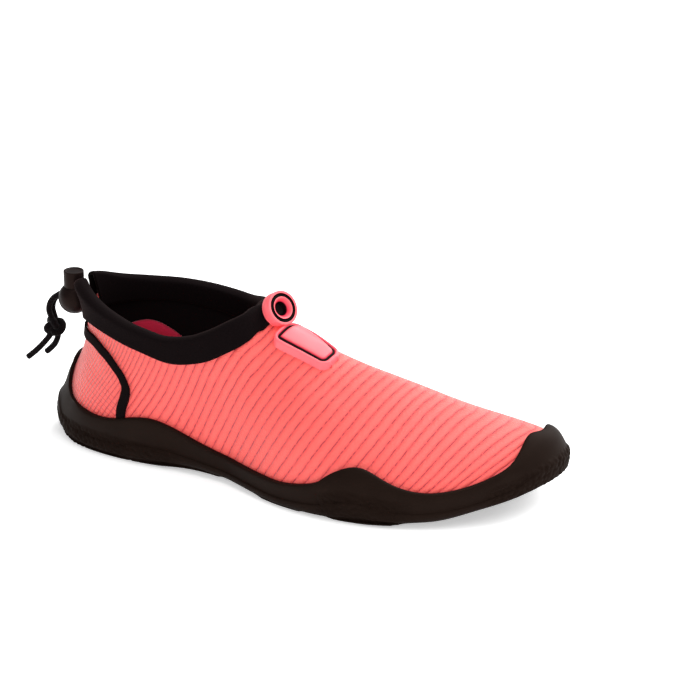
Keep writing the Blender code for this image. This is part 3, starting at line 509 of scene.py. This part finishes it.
# %% [markdown]
# ## The sole's two edges
# At the heel the cup thins towards its upper edge, so its points are drawn in there. The lower edge,
# where the side turns into the tread, comes out of the rounding a little uneven. So the side's widest
# line is measured at many stations, evened, and the points below it held within a round edge.

# %% Thin the heel and even the lower edge
HEEL_MIDDLE, HEEL_THINNER = -0.085, 1.8 * MM
THIN_X, THIN_LONG, THIN_Z, THIN_TALL = -0.096, 0.012, 0.012, 0.010
LOW_EDGE, EDGE_IN = 4.0 * MM, 2.4 * MM
EVEN_WEIGHTS = np.array([1, 2, 3, 2, 1]) / 9


def evened(values):
    """Each value averaged with its neighbours, so that a line of them runs smoothly."""
    return np.convolve(np.pad(values, 2, mode="edge"), EVEN_WEIGHTS, mode="valid")


from_heel = spots * (1, 1, 0) - (HEEL_MIDDLE, 0, 0)
from_heel /= np.linalg.norm(from_heel, axis=1)[:, None]
thin = np.clip((THIN_X - spots[:, 0]) / THIN_LONG, 0, 1)
thin *= np.clip((spots[:, 2] - THIN_Z) / THIN_TALL, 0, 1)
thin *= np.clip((facing * from_heel).sum(axis=1), 0, 1)
spots -= from_heel * thin[:, None] * HEEL_THINNER
spots[:, 2] = np.maximum(spots[:, 2], 0)

stations = np.linspace(-0.110, 0.105, 72)
close = [np.abs(spots[:, 0] - x) < 0.003 for x in stations]
rise = spots[:, 2] - np.interp(spots[:, 0], stations, evened([spots[c, 2].min() for c in close]))
on_side = (rise > LOW_EDGE) & (rise < 2.5 * LOW_EDGE)
between = (spots[:, 0] > stations[0]) & (spots[:, 0] < stations[-1])
for sign in (-1, 1):
    out = sign * spots[:, 1]
    wall = evened([out[c & on_side].max() for c in close])
    limit = np.interp(spots[:, 0], stations, wall) - EDGE_IN * np.clip(1 - rise / LOW_EDGE, 0, 1)**2
    over = (out > limit) & (rise < LOW_EDGE) & between
    spots[over, 1] = sign * limit[over]
put_points(sole.data, spots)
print("the sole is", round(float(np.ptp(spots[:, 0])) / MM, 1), "mm long")

# %% [markdown]
# ## Black rubber
# Moulded rubber is a warm black with a dull satin shine. Its skin has a fine 0.5 mm texture from the
# mould, clouds of dust over 11 mm, and the pebbled zones are duller, with a 0.8 mm grit on the lumps.

# %% Rubber
rubber, rubber_shader = new_look("moulded_black_rubber", {
    "IOR": 1.52, "Specular IOR Level": 0.10, "Specular Tint": colour("#F0C8B4")})
place = add(rubber, "TexCoord").outputs["Object"]
mask = add(rubber, "Attribute", attribute_name="pebbled").outputs["Fac"]
grit = add(rubber, "TexNoise", {"Vector": place, "Scale": per(0.7692)}).outputs["Fac"]
dust = add(rubber, "TexNoise", {"Vector": place, "Scale": per(11.11), "Detail": 5.0}).outputs["Fac"]
shade = add(rubber, "Mix", {"Factor": dust, "A": colour("#0F0806"), "B": colour("#1A110D")}, data_type="RGBA")
link(rubber, shade.outputs["Result"], rubber_shader, "Base Color")
rough = add(rubber, "Math", {0: mask, 1: 0.2, 2: 0.64}, operation="MULTIPLY_ADD").outputs[0]
link(rubber, rough, rubber_shader, "Roughness")
lumps = add(rubber, "Math", {0: grit, 1: mask}, operation="MULTIPLY").outputs[0]
fine = add(rubber, "TexNoise", {"Vector": place, "Scale": per(0.4545)}).outputs["Fac"]
skin_height = add(rubber, "Math", {0: fine, 1: 0.06, 2: lumps}, operation="MULTIPLY_ADD").outputs[0]
relief = add(rubber, "Bump", {"Height": skin_height, "Strength": 0.7, "Distance": 0.3 * MM})
link(rubber, relief.outputs["Normal"], rubber_shader, "Normal")
dress(sole, rubber, "shoe", "black_rubber", "outsole")

# %% [markdown]
# ## Insole
# A foam footbed with a cloth face: a dull crimson that shows as a strip inside the collar. Its heel
# cup stands up on the inner side of the foot, where the strip shows, so the rim is lifted there.

# %% Insole
RIM_X, RIM_SPREAD, RIM_FOOT, RIM_TALL = -0.084, 0.016, 0.028, 0.012
RIM_MOVE = (0.0, -1.2 * MM, 4.0 * MM)
# Cloth on foam scatters light evenly, with a soft pale edge and no highlight
foam, _ = new_look("crimson_cloth_faced_foam", {
    "Base Color": colour("#D3103F"), "Roughness": 0.85, "Sheen Weight": 0.2})
insole = merged_copy("insole_foam", "insole")
crease_sharp(insole, 60)
rounded(insole, 2)
foot = points_of(insole.data)
lift = np.exp(-((foot[:, 0] - RIM_X) / RIM_SPREAD)**2) * np.clip((foot[:, 2] - RIM_FOOT) / RIM_TALL, 0, 1)
lift *= foot[:, 1] > 0
put_points(insole.data, foot + np.outer(lift, RIM_MOVE))
dress(insole, foam, "shoe", "crimson_foam", "insole")
print("the rim rises by", round(float(lift.max()) * RIM_MOVE[2] / MM, 1), "mm")

# %% [markdown]
# ## Collar binding and heel tapes
# The collar's edge is folded into a soft stretch binding. Two narrow tapes cover the heel seams and
# run down into the edge of the cup. Both are woven of dull black yarn, with threads of about 0.7 mm
# that catch hardly any light. Under the pull's ring the binding's edge is drawn back out of sight.

# %% Material of the binding and the tapes
webbing, webbing_shader = new_look("black_stretch_binding", {
    "Roughness": 0.9, "Specular IOR Level": 0.05, "Sheen Weight": 0.03, "Sheen Roughness": 0.4,
    "Sheen Tint": colour("#FFC0B8")})
place = add(webbing, "TexCoord").outputs["Object"]
threads = add(webbing, "TexNoise", {"Vector": place, "Scale": per(0.7143), "Detail": 2.0}).outputs["Fac"]
shade = add(webbing, "Mix", {"Factor": threads, "A": colour("#080405"), "B": colour("#10090A")},
            data_type="RGBA")
link(webbing, shade.outputs["Result"], webbing_shader, "Base Color")
relief = add(webbing, "Bump", {"Height": threads, "Strength": 0.5, "Distance": 0.2 * MM})
link(webbing, relief.outputs["Normal"], webbing_shader, "Normal")

# %% [markdown]
# ## Shape of the binding and the tapes
# All three are rounded copies of their solids. Points of the binding are moved and then smoothed with
# their neighbours, so the edge stays a soft fold. The tapes' lower ends are pushed into the rubber.

# %% Binding and tapes
THROAT_X, THROAT_Z, DRAWN_BACK = -0.0135, 0.0712, 0.6
ONSET_X, ONSET_Z = 0.001, 0.0015
SMOOTH_FROM_X, SMOOTH_BELOW_Z = -0.026, 0.0715
TAPE_FOOT_Z, TAPE_PUSH = 0.0240, 2.5 * MM
binding = merged_copy("collar_binding_cloth", "collar_binding")
crease_sharp(binding, 75)
rounded(binding, 2)
band = points_of(binding.data)
ahead = band[:, 0] - THROAT_X
under_ring = np.clip((THROAT_Z - band[:, 2]) / ONSET_Z, 0, 1) * np.clip(ahead / ONSET_X, 0, 1)
band[:, 0] -= DRAWN_BACK * under_ring * ahead
put_points(binding.data, band)
only(binding)
bpy.ops.object.mode_set(mode="EDIT")
bpy.ops.mesh.select_all(action="DESELECT")
bpy.ops.object.mode_set(mode="OBJECT")
for point in binding.data.vertices:
    point.select = point.co.x > SMOOTH_FROM_X and point.co.z < SMOOTH_BELOW_Z
bpy.ops.object.mode_set(mode="EDIT")
bpy.ops.mesh.vertices_smooth(factor=0.5, repeat=7)
bpy.ops.object.mode_set(mode="OBJECT")
dress(binding, webbing, "shoe", "black_binding", "collar_binding")
for side in ("lateral", "medial"):
    tape = merged_copy("heel_tape_" + side + "_cloth", "heel_tape_" + side)
    crease_sharp(tape, 75)
    rounded(tape, 2)
    ends = points_of(tape.data)
    at_foot = np.clip((TAPE_FOOT_Z - ends[:, 2]) / 0.003, 0, 1)
    put_points(tape.data, ends - np.outer(at_foot, (0, 0, TAPE_PUSH)))
    dress(tape, webbing, "shoe", "black_binding", "heel_tape_" + side)

# %% [markdown]
# ## Moulded pull
# The pull is one soft moulding: a short ring to hook a finger in, and a rounded plate below it. Soft
# thermoplastic rubber of this kind is satin and a little milky, so it gets a broad highlight, and a
# faint emission adds a painted glow. It clouds a little over some 8 mm, and its skin has the mould's
# 1 mm texture. An inlaid line is black and dull. The ring's funnel gets painted shade in crimson,
# and the bottom of its hole is painted black as shade.

# %% Soft rubber for the pull
def soft_rubber(name, inlay_and_shade_attribute):
    """Coral rubber. The attribute is 0 on the rubber, small in the funnel, where it paints shade in crimson,
    and 1 on the black inlay and on the hole's bottom, which is painted black as shade.
    """
    look, shader = new_look(name, {
        "Roughness": 0.42, "IOR": 1.5, "Specular IOR Level": 0.4,
        "Emission Color": colour("#FF4A50"), "Emission Strength": 0.12,
    })
    place = add(look, "TexCoord").outputs["Object"]
    cloud = add(look, "TexNoise", {"Vector": place, "Scale": per(8.333), "Detail": 3.0}).outputs["Fac"]
    pink = add(look, "Mix", {"Factor": cloud, "A": colour("#F4606A"), "B": colour("#FB6E74")},
               data_type="RGBA")
    inlay_and_painted_shade = add(look, "Attribute", attribute_name=inlay_and_shade_attribute).outputs["Fac"]
    edge = add(look, "MapRange", {"Value": inlay_and_painted_shade, "From Min": 0.40, "From Max": 0.65}).outputs[0]
    # Painted shade: crimson on the funnel's wall; the hole's bottom turns black with the inlay.
    funnel_painted_shade = add(look, "MapRange", {"Value": inlay_and_painted_shade, "From Min": 0.0, "From Max": 0.3}).outputs[0]
    wall = add(look, "Mix", {"Factor": funnel_painted_shade, "A": pink.outputs["Result"], "B": colour("#D8304C")},
               data_type="RGBA")
    both = add(look, "Mix", {"Factor": edge, "A": wall.outputs["Result"], "B": colour("#0E0607")},
               data_type="RGBA")
    link(look, both.outputs["Result"], shader, "Base Color")
    shine = add(look, "MapRange", {"Value": edge, "To Min": 0.4, "To Max": 0.04}).outputs[0]
    link(look, shine, shader, "Specular IOR Level")
    # Painted glow: a faint coral emission, switched off on the black.
    painted_glow = add(look, "Mix", {"Factor": edge, "A": colour("#FF4A50"), "B": colour("#000000")},
               data_type="RGBA")
    link(look, painted_glow.outputs["Result"], shader, "Emission Color")
    fine = add(look, "TexNoise", {"Vector": place, "Scale": per(1.111), "Detail": 2.0}).outputs["Fac"]
    relief = add(look, "Bump", {"Height": fine, "Strength": 0.3, "Distance": 0.1 * MM})
    link(look, relief.outputs["Normal"], shader, "Normal")
    return look


pull_rubber = soft_rubber("moulded_coral_tpr", "inlay_and_painted_shade")

# %% [markdown]
# ## Tools for moulded pieces
# A hard or rubber moulding starts as a primitive at the origin, where its faces are easy to find by
# their height. There it is stepped by insets and bevelled. Then it is settled: moved to its place,
# with the place kept in the mesh.

# %% Name, step, bevel and settle a piece
def new_part(name):
    piece = bpy.context.object
    piece.name = name
    piece.data.name = name
    return piece


def face_up(piece, limit):
    """Select the flat end whose middle lies highest."""
    select_faces(piece, lambda face: face.center.z > limit and face.normal.z > 0.99)


def step(width, drop=0.0):
    """Inset the selected faces, and lower them where there is a drop."""
    bpy.ops.mesh.inset(thickness=width, depth=drop)


def bevelled(piece, width, angle=35, segments=3):
    """Round the edges that fold by more than the angle, as a mould leaves them."""
    only(piece)
    change = piece.modifiers.new("soft_edges", "BEVEL")
    change.width = width
    change.segments = segments
    change.limit_method = "ANGLE"
    change.angle_limit = math.radians(angle)
    bpy.ops.object.modifier_apply(modifier=change.name)
    bpy.ops.object.shade_smooth_by_angle(angle=math.radians(40))


def settle(piece, matrix):
    """Put a piece in its place, then bring its object back to the origin."""
    only(piece)
    piece.matrix_world = matrix
    bpy.ops.object.transform_apply(location=True, rotation=True, scale=True)


# %% [markdown]
# ## The ring
# A ring with a stepped face could be spun from a profile. Here it is a cylinder whose front face is
# inset ring by ring, because each inset is one number wide and one deep: a rim, a black inlaid
# groove, a thin lip and a funnel. The bevel leaves the small soft edges of a mould.

# %% The ring
RING_CENTRE = Vector((-7.2, -2.3, 75.3)) * MM
RING_AXIS = Vector((0.814, -0.296, 0.500))
RING_RADIUS, RING_DEPTH = 7.8 * MM, 5.2 * MM
GROOVE_OUT, GROOVE_IN, GROOVE_DROP, GROOVE_WALL = 6.7 * MM, 5.1 * MM, 0.55 * MM, 0.1 * MM
# Width and drop of the lip and of each step of the funnel, in millimetres
FUNNEL = ((0.35, 0.0), (1.2, -1.4), (0.8, -1.2), (0.2, -1.0))
FUNNEL_RADIUS, HOLE_RADIUS, FRONT_FROM = 4.4 * MM, 2.9 * MM, -2.0 * MM
bpy.ops.mesh.primitive_cylinder_add(vertices=72, radius=RING_RADIUS, depth=RING_DEPTH)
ring = new_part("pull_ring_moulding")
face_up(ring, 0.48 * RING_DEPTH)
step(RING_RADIUS - GROOVE_OUT)
step(GROOVE_WALL, -GROOVE_DROP)
step(GROOVE_OUT - GROOVE_IN - 2 * GROOVE_WALL)
step(GROOVE_WALL, GROOVE_DROP)
for width, drop in FUNNEL:
    step(width * MM, drop * MM)
bpy.ops.object.mode_set(mode="OBJECT")
bevelled(ring, 0.35 * MM)
spots = points_of(ring.data)
radius = np.hypot(spots[:, 0], spots[:, 1])
in_groove = (radius < GROOVE_OUT - 0.03 * MM) & (radius > GROOVE_IN - 0.02 * MM) & (spots[:, 2] > 0)
in_front = spots[:, 2] > FRONT_FROM
hole_shade_area = (radius < HOLE_RADIUS) & in_front
funnel_shade_area = (radius < FUNNEL_RADIUS) & in_front
# The groove is a black inlay. The funnel gets painted shade in crimson, and the hole's bottom is painted
# black as shade.
stored(ring, "inlay_and_painted_shade", np.maximum(in_groove | hole_shade_area, 0.3 * funnel_shade_area))
settle(ring, Matrix.Translation(RING_CENTRE) @ RING_AXIS.to_track_quat("Z", "Y").to_matrix().to_4x4())
dress(ring, pull_rubber, "shoe", "coral_soft_rubber", "throat_pull")
print("ring faces:", len(ring.data.polygons))

# %% [markdown]
# ## The plate's outline
# The plate is a tapered tongue with round corners. It could be a flat moulding bent by a modifier,
# but it has to follow the instep closely. So a flat grid is drawn to the outline, with its rows
# closer together at the two ends, and each point's distance to the edge is measured.

# %% A grid in the outline of the plate
PLATE_START, PLATE_MIDDLE, PLATE_YAW = -4.2 * MM, -3.3 * MM, math.radians(-11)
PLATE_LENGTH, PLATE_HEEL_HALF, PLATE_TOE_HALF, PLATE_CORNER = 27.0 * MM, 11.0 * MM, 6.0 * MM, 4.0 * MM
PLATE_ROWS, PLATE_COLUMNS = 88, 64


def plate_plan(u, v):
    """A point of the flat plate: u runs from the ring to the tip, v from side to side."""
    along = u * PLATE_LENGTH
    half = PLATE_HEEL_HALF + (PLATE_TOE_HALF - PLATE_HEEL_HALF) * u
    to_end = np.minimum(np.minimum(along, PLATE_LENGTH - along), PLATE_CORNER)
    half = half - PLATE_CORNER + np.sqrt(np.maximum(PLATE_CORNER**2 - (PLATE_CORNER - to_end)**2, 0))
    return np.stack([along, v * half], -1)


bpy.ops.mesh.primitive_grid_add(x_subdivisions=PLATE_ROWS, y_subdivisions=PLATE_COLUMNS, size=2)
plate = new_part("pull_plate_moulding")
unit = points_of(plate.data)
order = np.lexsort((unit[:, 1].round(5), unit[:, 0].round(5)))
plan = plate_plan((1 - np.cos(np.pi * (unit[:, 0] + 1) / 2)) / 2, unit[:, 1])
long_side, short_side = np.linspace(0, 1, 240), np.linspace(-1, 1, 80)
edge = np.concatenate([plate_plan(long_side, 1), plate_plan(long_side, -1),
                       plate_plan(0 * short_side, short_side), plate_plan(0 * short_side + 1, short_side)])
inside = np.array([np.sqrt(((edge - q)**2).sum(axis=1).min()) for q in plan])
print("the middle of the plate is", round(float(inside.max()) / MM, 1), "mm from its edge")

# %% [markdown]
# ## Lay the plate on the cloth
# Each point drops straight down onto the upper, and its height is evened with its neighbours'. A
# moulding is stiffer than cloth, so it stays flatter across than the instep below it. The gap that
# this leaves at the sides is closed later by a skirt.

# %% Lay the plate on the cloth
THROAT_HEIGHT = 0.06
STIFFNESS, EVENINGS = 0.32, 6
across = np.array([[math.cos(PLATE_YAW), math.sin(PLATE_YAW)], [-math.sin(PLATE_YAW), math.cos(PLATE_YAW)]])
depsgraph = bpy.context.evaluated_depsgraph_get()
laid = []
for x, y in plan @ across + (PLATE_START, PLATE_MIDDLE):
    found, where, _, _ = upper.ray_cast(Vector((x, y, 0.2)), Vector((0, 0, -1)), depsgraph=depsgraph)
    laid.append((x, y, where.z if found else THROAT_HEIGHT))
laid = np.array(laid)
lattice = laid[order].reshape(PLATE_ROWS + 1, PLATE_COLUMNS + 1, 3)
for _ in range(EVENINGS):
    lattice[1:-1, 1:-1, 2] = (lattice[:-2, 1:-1, 2] + lattice[2:, 1:-1, 2]
                              + lattice[1:-1, :-2, 2] + lattice[1:-1, 2:, 2]) / 4
cloth_height = lattice[..., 2].copy()
lattice[..., 2] += STIFFNESS * (cloth_height.max(axis=1, keepdims=True) - cloth_height)
slope = np.cross(np.gradient(lattice, axis=0), np.gradient(lattice, axis=1))
slope /= np.linalg.norm(slope, axis=-1)[..., None]
slope *= np.sign(slope[..., 2:])
laid[order] = lattice.reshape(-1, 3)
normals, gap = np.zeros_like(laid), np.zeros(len(laid))
normals[order] = slope.reshape(-1, 3)
gap[order] = (lattice[..., 2] - cloth_height).reshape(-1)
print("the plate rises", round(float(np.ptp(laid[:, 2])) / MM, 1), "mm from tip to ring")

# %% [markdown]
# ## The plate's relief
# With the distance to the edge known, the height is a sum of simple steps: a round shoulder, a
# sunken outline between the rim and the field, and a field that swells a little. The outermost row
# drops as a skirt into the cloth, so no gap shows. The same distance marks the black outline.

# %% Height and outline of the plate
PLATE_HEIGHT, PLATE_SINK, SHOULDER = 2.3 * MM, 0.3 * MM, 1.0 * MM
RIM_WIDTH, OUTLINE_WIDTH, OUTLINE_DROP = 1.7 * MM, 1.5 * MM, 0.7 * MM
FIELD_SWELL, FIELD_SOFT = 0.25 * MM, 2 * MM
SKIRT_DROP, SKIRT_WIDTH = 1.2 * MM, 0.35 * MM
mid_outline = RIM_WIDTH + OUTLINE_WIDTH / 2
off_outline = np.abs(inside - mid_outline) / (OUTLINE_WIDTH / 2)
swell = PLATE_HEIGHT * np.sqrt(1 - (1 - np.minimum(inside / SHOULDER, 1))**2) - PLATE_SINK
swell -= OUTLINE_DROP * np.clip(2.5 - 2 * off_outline, 0, 1)
swell += FIELD_SWELL * np.clip((inside - mid_outline) / FIELD_SOFT, 0, 1)
skirt = (gap + SKIRT_DROP) * np.clip(1 - inside / SKIRT_WIDTH, 0, 1)
put_points(plate.data, laid + normals * swell[:, None] - skirt[:, None] * (0, 0, 1))
stored(plate, "inlay_and_painted_shade", np.clip(1.3 - off_outline, 0, 1))
only(plate)
bpy.ops.object.mode_set(mode="EDIT")
bpy.ops.mesh.select_all(action="SELECT")
bpy.ops.mesh.normals_make_consistent(inside=False)
bpy.ops.object.mode_set(mode="OBJECT")
if sum(p.normal.z for p in plate.data.polygons) < 0:
    plate.data.flip_normals()
bpy.ops.object.shade_smooth()
dress(plate, pull_rubber, "shoe", "coral_soft_rubber", "throat_pull", "throat_panel")
print("plate faces:", len(plate.data.polygons))

# %% [markdown]
# ## Acetal
# The cord lock at the heel is moulded in acetal, a hard and slightly waxy plastic. To the eye it is
# black with a soft highlight, which hand wear makes sharper or duller over some 4 mm.

# %% Material of the lock
acetal, acetal_shader = new_look("moulded_black_acetal", {
    "IOR": 1.48, "Specular IOR Level": 0.10, "Specular Tint": colour("#F0C8B4"), "Roughness": 0.38})
place = add(acetal, "TexCoord").outputs["Object"]
wear = add(acetal, "TexNoise", {"Vector": place, "Scale": per(3.846), "Detail": 4.0}).outputs["Fac"]
shade = add(acetal, "Mix", {"Factor": wear, "A": colour("#0F0909"), "B": colour("#1C1313")}, data_type="RGBA")
link(acetal, shade.outputs["Result"], acetal_shader, "Base Color")
gloss = add(acetal, "MapRange", {"Value": wear, "To Min": 0.32, "To Max": 0.48}).outputs[0]
link(acetal, gloss, acetal_shader, "Roughness")

# %% [markdown]
# ## Cord lock
# A ball with a spring button. The ball is a sphere with the button's bore cut in its top by a
# Boolean, which leaves a clean round edge that an inset of a sphere's faces wouldn't. The button is a
# cylinder with a shallow dish, and both get a mould's small soft edges. The bore is deeper than the
# button's travel, so the pressed button doesn't touch its floor.

# %% Ball and button
LOCK = Vector((-115.07, 0.47, 61.8)) * MM
BALL_RADIUS, BORE_RADIUS, BORE_BELOW_MIDDLE = 7.5 * MM, 4.95 * MM, 4.5 * MM
BUTTON_RADIUS, BUTTON_FOOT, BUTTON_TOP = 4.7 * MM, -1.0 * MM, 13.3 * MM
BUTTON_RIM, DISH_SLOPE, DISH_DROP = 0.9 * MM, 0.4 * MM, 0.3 * MM
bpy.ops.mesh.primitive_cylinder_add(vertices=48, radius=BORE_RADIUS, depth=2 * BALL_RADIUS,
                                    location=LOCK + Vector((0, 0, BALL_RADIUS - BORE_BELOW_MIDDLE)))
bore = new_part("bore_cutter")
bpy.ops.mesh.primitive_uv_sphere_add(segments=56, ring_count=36, radius=BALL_RADIUS, location=LOCK)
ball = new_part("lock_ball")
cut = ball.modifiers.new("bore", "BOOLEAN")
cut.operation = "DIFFERENCE"
cut.solver = "EXACT"
cut.object = bore
only(ball)
bpy.ops.object.modifier_apply(modifier=cut.name)
bpy.data.objects.remove(bore, do_unlink=True)
bevelled(ball, 0.3 * MM, angle=50, segments=2)
settle(ball, ball.matrix_world.copy())
dress(ball, acetal, "shoe", "black_plastic", "lock_body")

button_height = BUTTON_TOP - BUTTON_FOOT
bpy.ops.mesh.primitive_cylinder_add(vertices=64, radius=BUTTON_RADIUS, depth=button_height)
button = new_part("lock_push_button")
face_up(button, 0.48 * button_height)
step(BUTTON_RIM)
step(DISH_SLOPE, -DISH_DROP)
bpy.ops.object.mode_set(mode="OBJECT")
bevelled(button, 0.4 * MM, angle=30)
settle(button, Matrix.Translation(LOCK + Vector((0, 0, (BUTTON_TOP + BUTTON_FOOT) / 2))))
dress(button, acetal, "button", "black_plastic", "lock_button")
print("ball faces", len(ball.data.polygons), "button faces", len(button.data.polygons))

# %% [markdown]
# ## Braided cord
# A round cord braided of polyester yarn: plaits of about 0.9 mm, with painted shade in the gaps
# between them, and nearly without shine, so it reads as a soft dull black beside the lock.

# %% Material of the cord
CORD_DIAMETER = 2.8 * MM
braid, braid_shader = new_look("braided_polyester_cord", {
    "Roughness": 0.92, "Specular IOR Level": 0.05, "Sheen Weight": 0.04})
place = add(braid, "TexCoord").outputs["Object"]
plaits = add(braid, "TexVoronoi", {"Vector": place, "Scale": per(0.9091)}).outputs["Distance"]
# Painted shade: the colour darkens towards the gaps between the plaits.
shade = add(braid, "Mix", {"Factor": plaits, "A": colour("#100A0B"), "B": colour("#060304")},
            data_type="RGBA")
link(braid, shade.outputs["Result"], braid_shader, "Base Color")
relief = add(braid, "Bump", {"Height": plaits, "Strength": 0.8, "Distance": 0.4 * MM}, invert=True)
link(braid, relief.outputs["Normal"], braid_shader, "Normal")

# %% [markdown]
# ## Drawcord
# The cord is doubled. Each half leaves the back of the lock, hangs into the knot and ends in a free
# cut tail, so each is one curve with a round section, through points read along the cord.

# %% Lines for the cord
# Points of each half, in millimetres from the middle of the lock
ROUTES = {
    "lateral": ((-6.4, -1.6, 0.2), (-9.2, -1.6, -0.4), (-12.2, -1.6, -3.8), (-13.2, -1.52, -8.0),
                (-12.0, -1.36, -12.2), (-11.9, -1.3, -16.4), (-13.1, -1.8, -20.2), (-16.8, -2.4, -25.0),
                (-20.6, -3.0, -29.0), (-24.6, -3.4, -32.6)),
    "medial": ((-6.4, 1.6, 0.2), (-9.2, 1.6, -0.4), (-12.2, 1.6, -3.8), (-13.2, 1.52, -8.0),
               (-12.0, 1.36, -12.2), (-11.0, 1.3, -16.4), (-10.9, 1.8, -20.7), (-12.6, 2.2, -25.0),
               (-15.2, 2.4, -28.2), (-18.0, 2.4, -30.8)),
}


def smooth_line(points, count):
    """Evenly spaced points on a smooth curve through these points."""
    q = np.array(points, float)
    padded = np.vstack([2 * q[0] - q[1], q, 2 * q[-1] - q[-2]])
    t = np.linspace(0, 1, 14, endpoint=False)[:, None]
    fine = [0.5 * (2 * b + (c - a) * t + (2 * a - 5 * b + 4 * c - d) * t**2 + (3 * b - a - 3 * c + d) * t**3)
            for a, b, c, d in zip(padded, padded[1:], padded[2:], padded[3:])]
    fine = np.vstack([*fine, q[-1:]])
    run = np.concatenate([[0], np.cumsum(np.linalg.norm(np.diff(fine, axis=0), axis=1))])
    even = np.linspace(0, run[-1], count)
    return np.stack([np.interp(even, run, fine[:, i]) for i in range(3)], -1), run[-1]


def cord_curve(name, points, closed=False, thickness=CORD_DIAMETER):
    """A curve with a round section through these points."""
    data = bpy.data.curves.new(name, "CURVE")
    data.dimensions = "3D"
    data.bevel_depth = thickness / 2
    data.bevel_resolution = 4
    data.use_fill_caps = not closed
    spline = data.splines.new("POLY")
    spline.points.add(len(points) - 1)
    spline.points.foreach_set("co", np.hstack([points, np.ones((len(points), 1))]).ravel())
    spline.use_cyclic_u = closed
    spline.use_smooth = True
    made = bpy.data.objects.new(name, data)
    bpy.context.scene.collection.objects.link(made)
    return made


# %% [markdown]
# ## Knot
# An overhand knot: the cord follows a trefoil line on a ring, drawn a little thicker than the cord
# because its turns press against each other. The two strands start at the back of the lock.

# %% Knot, strands and tails
KNOT = LOCK + Vector((-11.4, 0.0, -16.3)) * MM
KNOT_ACROSS, KNOT_THROUGH, KNOT_UP, KNOT_THICKER = 1.35, 2.0, 1.25, 1.2
turn = np.linspace(0, 2 * np.pi, 96, endpoint=False)
trefoil = np.stack([(2 + np.cos(3 * turn)) * np.cos(2 * turn) * KNOT_ACROSS, np.sin(3 * turn) * KNOT_THROUGH,
                    (2 + np.cos(3 * turn)) * np.sin(2 * turn) * KNOT_UP], -1) * MM + np.array(KNOT)
knot = cord_curve("cord_knot_wound", trefoil, closed=True, thickness=CORD_DIAMETER * KNOT_THICKER)
only(knot)
bpy.ops.object.convert(target="MESH")
knot = new_part("cord_knot_wound")
bpy.ops.object.shade_smooth()
dress(knot, braid, "shoe", "black_cord", "cord_knot")
for side, route in ROUTES.items():
    line_points, run = smooth_line(np.array(route) * MM + np.array(LOCK), 64)
    strand = cord_curve("drawcord_" + side, line_points)
    dress(strand, braid, "shoe", "black_cord", "cord_strand_" + side, "cord_tail_" + side)
    print(strand.name, "is", round(run / MM, 1), "mm long")

# %% [markdown]
# ## Floor and light
# A pale matt floor that runs out of the picture. Its faint glow keeps the shadow pale, as white board
# lit from all sides does. Three broad soft lights come from above, from behind and, weaker, from the
# front, in a bright white room. They are suns, because lamps near the shoe light a floor unevenly.

# %% Floor, lights and room
bpy.ops.mesh.primitive_plane_add(size=8, location=(0, 0, 0))
floor = new_part("floor")
pale, _ = new_look("pale_floor", {
    "Base Color": colour("#F4F4F4"), "Roughness": 0.9, "Emission Color": colour("#FFFFFF"),
    "Emission Strength": 0.45})
floor.data.materials.append(pale)


def sun(name, come_from, strength, spread):
    """A broad soft light that shines from this direction. The spread is in degrees."""
    light = bpy.data.lights.new(name, "SUN")
    light.energy = strength
    light.angle = math.radians(spread)
    made = bpy.data.objects.new(name, light)
    bpy.context.scene.collection.objects.link(made)
    made.rotation_euler = (-Vector(come_from)).to_track_quat("-Z", "Y").to_euler()


sun("top_light", (0.40, 0.30, 1.0), 2.7, 70)
sun("back_light", (0.30, 0.90, 0.70), 2.4, 50)
sun("front_light", (0.35, -1.3, 0.55), 0.8, 60)
world = bpy.data.worlds.new("white_room")
world.use_nodes = True
world.node_tree.nodes["Background"].inputs["Color"].default_value = (1, 1, 1, 1)
world.node_tree.nodes["Background"].inputs["Strength"].default_value = 0.36
bpy.context.scene.world = world
bpy.context.scene.view_settings.view_transform = "Standard"
